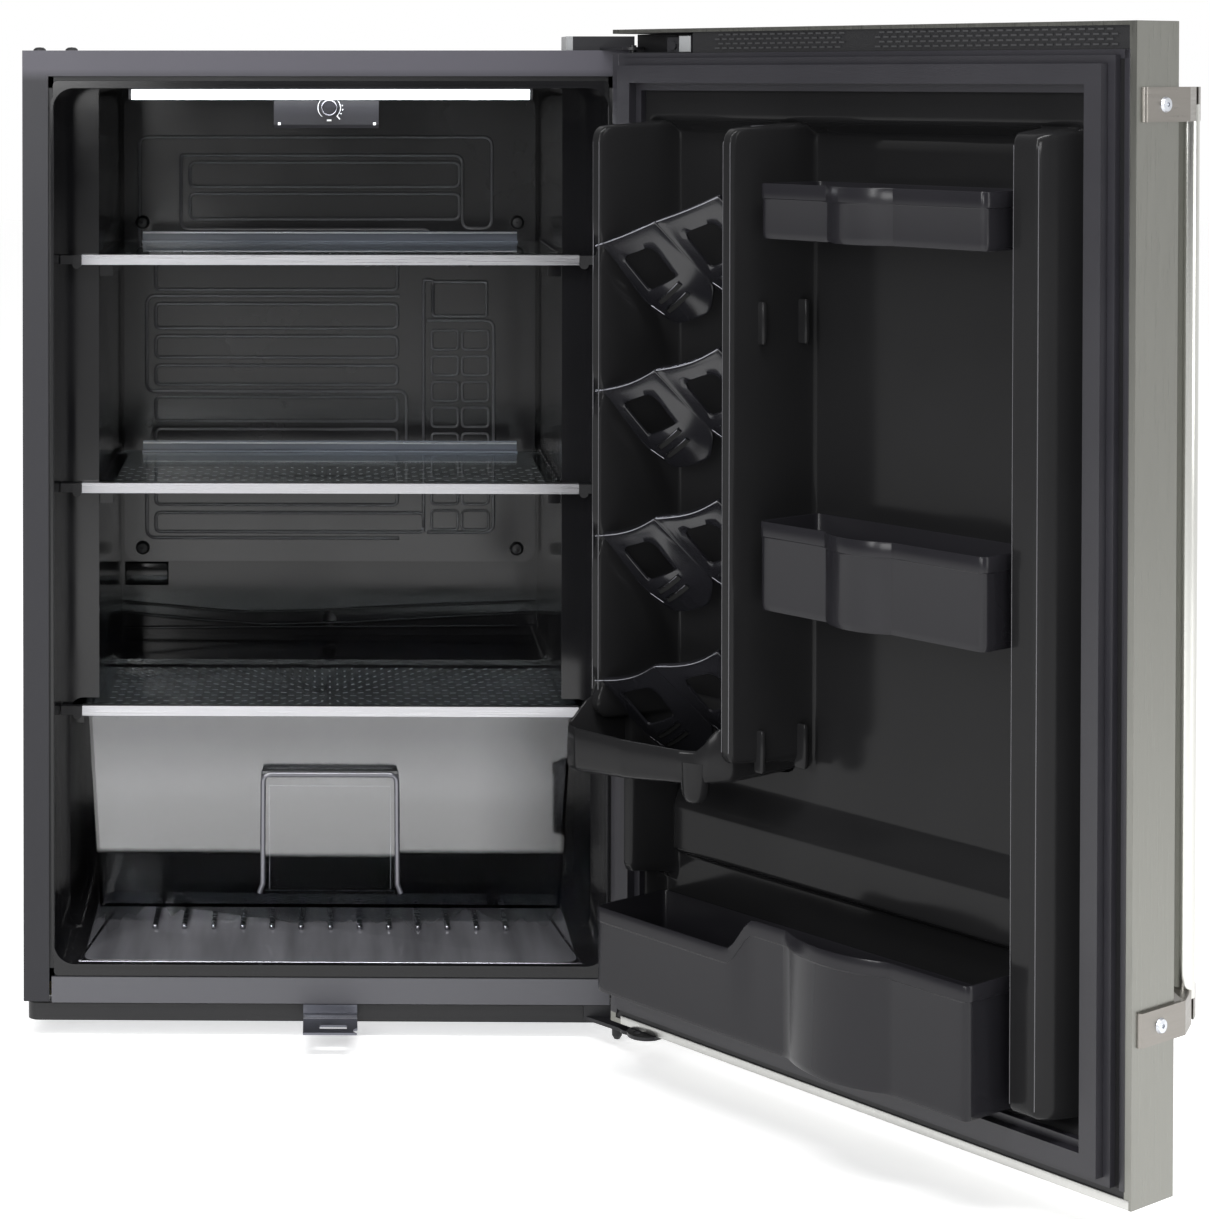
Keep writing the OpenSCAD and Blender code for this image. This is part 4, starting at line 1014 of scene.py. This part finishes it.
def make_small_parts():
    box("recess_wall", (0.6, -31, 841.2), (91, -28, 858.2), DOOR, BLACK, "door", 0.3, 0.4)
    box("hinge_leaf_block", (76.5, -1.7, 843), (89.5, -1.1, 856), DOOR, GREY, "door", 0.2, 0.4)
    lo, hi = in_mm("strike_plate")
    # A bright strip along the top of the strike plate: painted highlight.
    box("strike_plate_highlight", (lo[0], -13, lo[2] + 2.0), (hi[0], -3, lo[2] + 2.4), CABINET, TRIM_AND_HIGHLIGHT, "cabinet", 0.1, 0.3)
    # A lighter sheet laid on the liner floor: painted sheen.
    box("liner_floor_painted_sheen", (-212, 10, 62.9), (212, 215, 64.0), CABINET, FLOOR_PAINTED_SHEEN, "cabinet", 0.3, 14)
    # Lighter beads along the edges of the liner floor: painted highlights.
    bead("liner_front_highlight", [(-216, 9, 62.5), (216, 9, 62.5)], 1.3, CABINET, EDGE_HIGHLIGHT_METAL, "cabinet")
    bead("liner_side_highlight_1", [(-215, 12, 63), (-196, 150, 66)], 1.2, CABINET, EDGE_HIGHLIGHT_METAL, "cabinet")
    bead("liner_side_highlight_2", [(215, 12, 63), (196, 150, 66)], 1.2, CABINET, EDGE_HIGHLIGHT_METAL, "cabinet")


make_seals()
make_shelf_details()
make_thermostat_marks()
make_crisper_details()
make_cap_dashes()
make_small_parts()


# ---------- camera, floor and lights ----------

def add_camera():
    data = bpy.data.cameras.new("camera")
    data.sensor_width = 36
    data.lens = 86.3
    data.shift_x = 0.2676
    data.shift_y = -0.3943
    data.clip_end = 50
    camera = bpy.data.objects.new("camera", data)
    camera.location = (-4.9 * MM, FRONT - 2.4853, 0.823)
    camera.rotation_euler = (math.radians(90 - 1.03), 0, math.radians(0.90))
    bpy.context.scene.collection.objects.link(camera)
    bpy.context.scene.camera = camera


def add_floor():
    mesh = bpy.data.meshes.new("floor")
    size = 14
    corners = [(-size, -size, 0), (size, -size, 0), (size, size, 0), (-size, size, 0)]
    mesh.from_pydata(corners, [], [(0, 1, 2, 3)])
    floor = bpy.data.objects.new("floor", mesh)
    floor.location.z = -0.2 * MM
    bpy.context.scene.collection.objects.link(floor)
    material = new_material("floor_pale", (0.86, 0.86, 0.86), 0.7)
    specks = texture(material, "ShaderNodeTexNoise", 30, Detail=3)
    tint(material, specks, (0.85, 0.85, 0.85), (0.88, 0.88, 0.88))
    shader = material.node_tree.nodes["Principled BSDF"]
    shader.inputs["Emission Color"].default_value = (1, 1, 1, 1)
    shader.inputs["Emission Strength"].default_value = 0.5
    mesh.materials.append(material)


def add_area_light(name, place, target, size, power):
    data = bpy.data.lights.new(name, "AREA")
    data.shape = "RECTANGLE"
    data.size, data.size_y = size
    data.energy = power
    light = bpy.data.objects.new(name, data)
    light.location = place
    light.rotation_euler = (Vector(target) - Vector(place)).to_track_quat("-Z", "Y").to_euler()
    bpy.context.scene.collection.objects.link(light)


def add_world():
    """A studio that is white behind and to the right, and dark on the camera's side."""
    world = bpy.data.worlds.new("studio")
    bpy.context.scene.world = world
    world.use_nodes = True
    tree = world.node_tree
    coords = tree.nodes.new("ShaderNodeTexCoord")
    toward = tree.nodes.new("ShaderNodeVectorMath")
    toward.operation = "DOT_PRODUCT"
    toward.inputs[1].default_value = (0.42, 1.0, 0.15)
    ramp = tree.nodes.new("ShaderNodeMapRange")
    ramp.interpolation_type = "SMOOTHSTEP"
    ramp.inputs["From Min"].default_value = -0.30
    ramp.inputs["From Max"].default_value = 0.70
    ramp.inputs["To Min"].default_value = 0.10
    ramp.inputs["To Max"].default_value = 1.0
    tree.links.new(coords.outputs["Generated"], toward.inputs[0])
    tree.links.new(toward.outputs["Value"], ramp.inputs["Value"])
    background = tree.nodes["Background"]
    background.inputs["Color"].default_value = (1, 1, 1, 1)
    tree.links.new(ramp.outputs["Result"], background.inputs["Strength"])


add_camera()
add_floor()
add_world()
# Each light's name, place, target, size and power in watts.
for light in (
    ("left_softbox", (-1.7, -2.6, 1.9), (0.2, -0.3, 0.5), (0.4, 1.8), 36),
    ("right_softbox", (2.6, -2.0, 1.3), (0.4, -0.4, 0.5), (1.0, 2.2), 25),
    ("top_softbox", (0.1, -1.5, 2.6), (0.1, -0.3, 0.4), (2.2, 0.3), 52),
    ("front_softbox", (-0.75, -3.3, 1.25), (0, 0, 0.5), (0.7, 0.9), 24),
    ("floor_fill", (0, -1.5, 2.2), (0, -1.1, 0), (2.0, 1.0), 10),
):
    add_area_light(*light)

view_settings = bpy.context.scene.view_settings
view_settings.view_transform = "Standard"
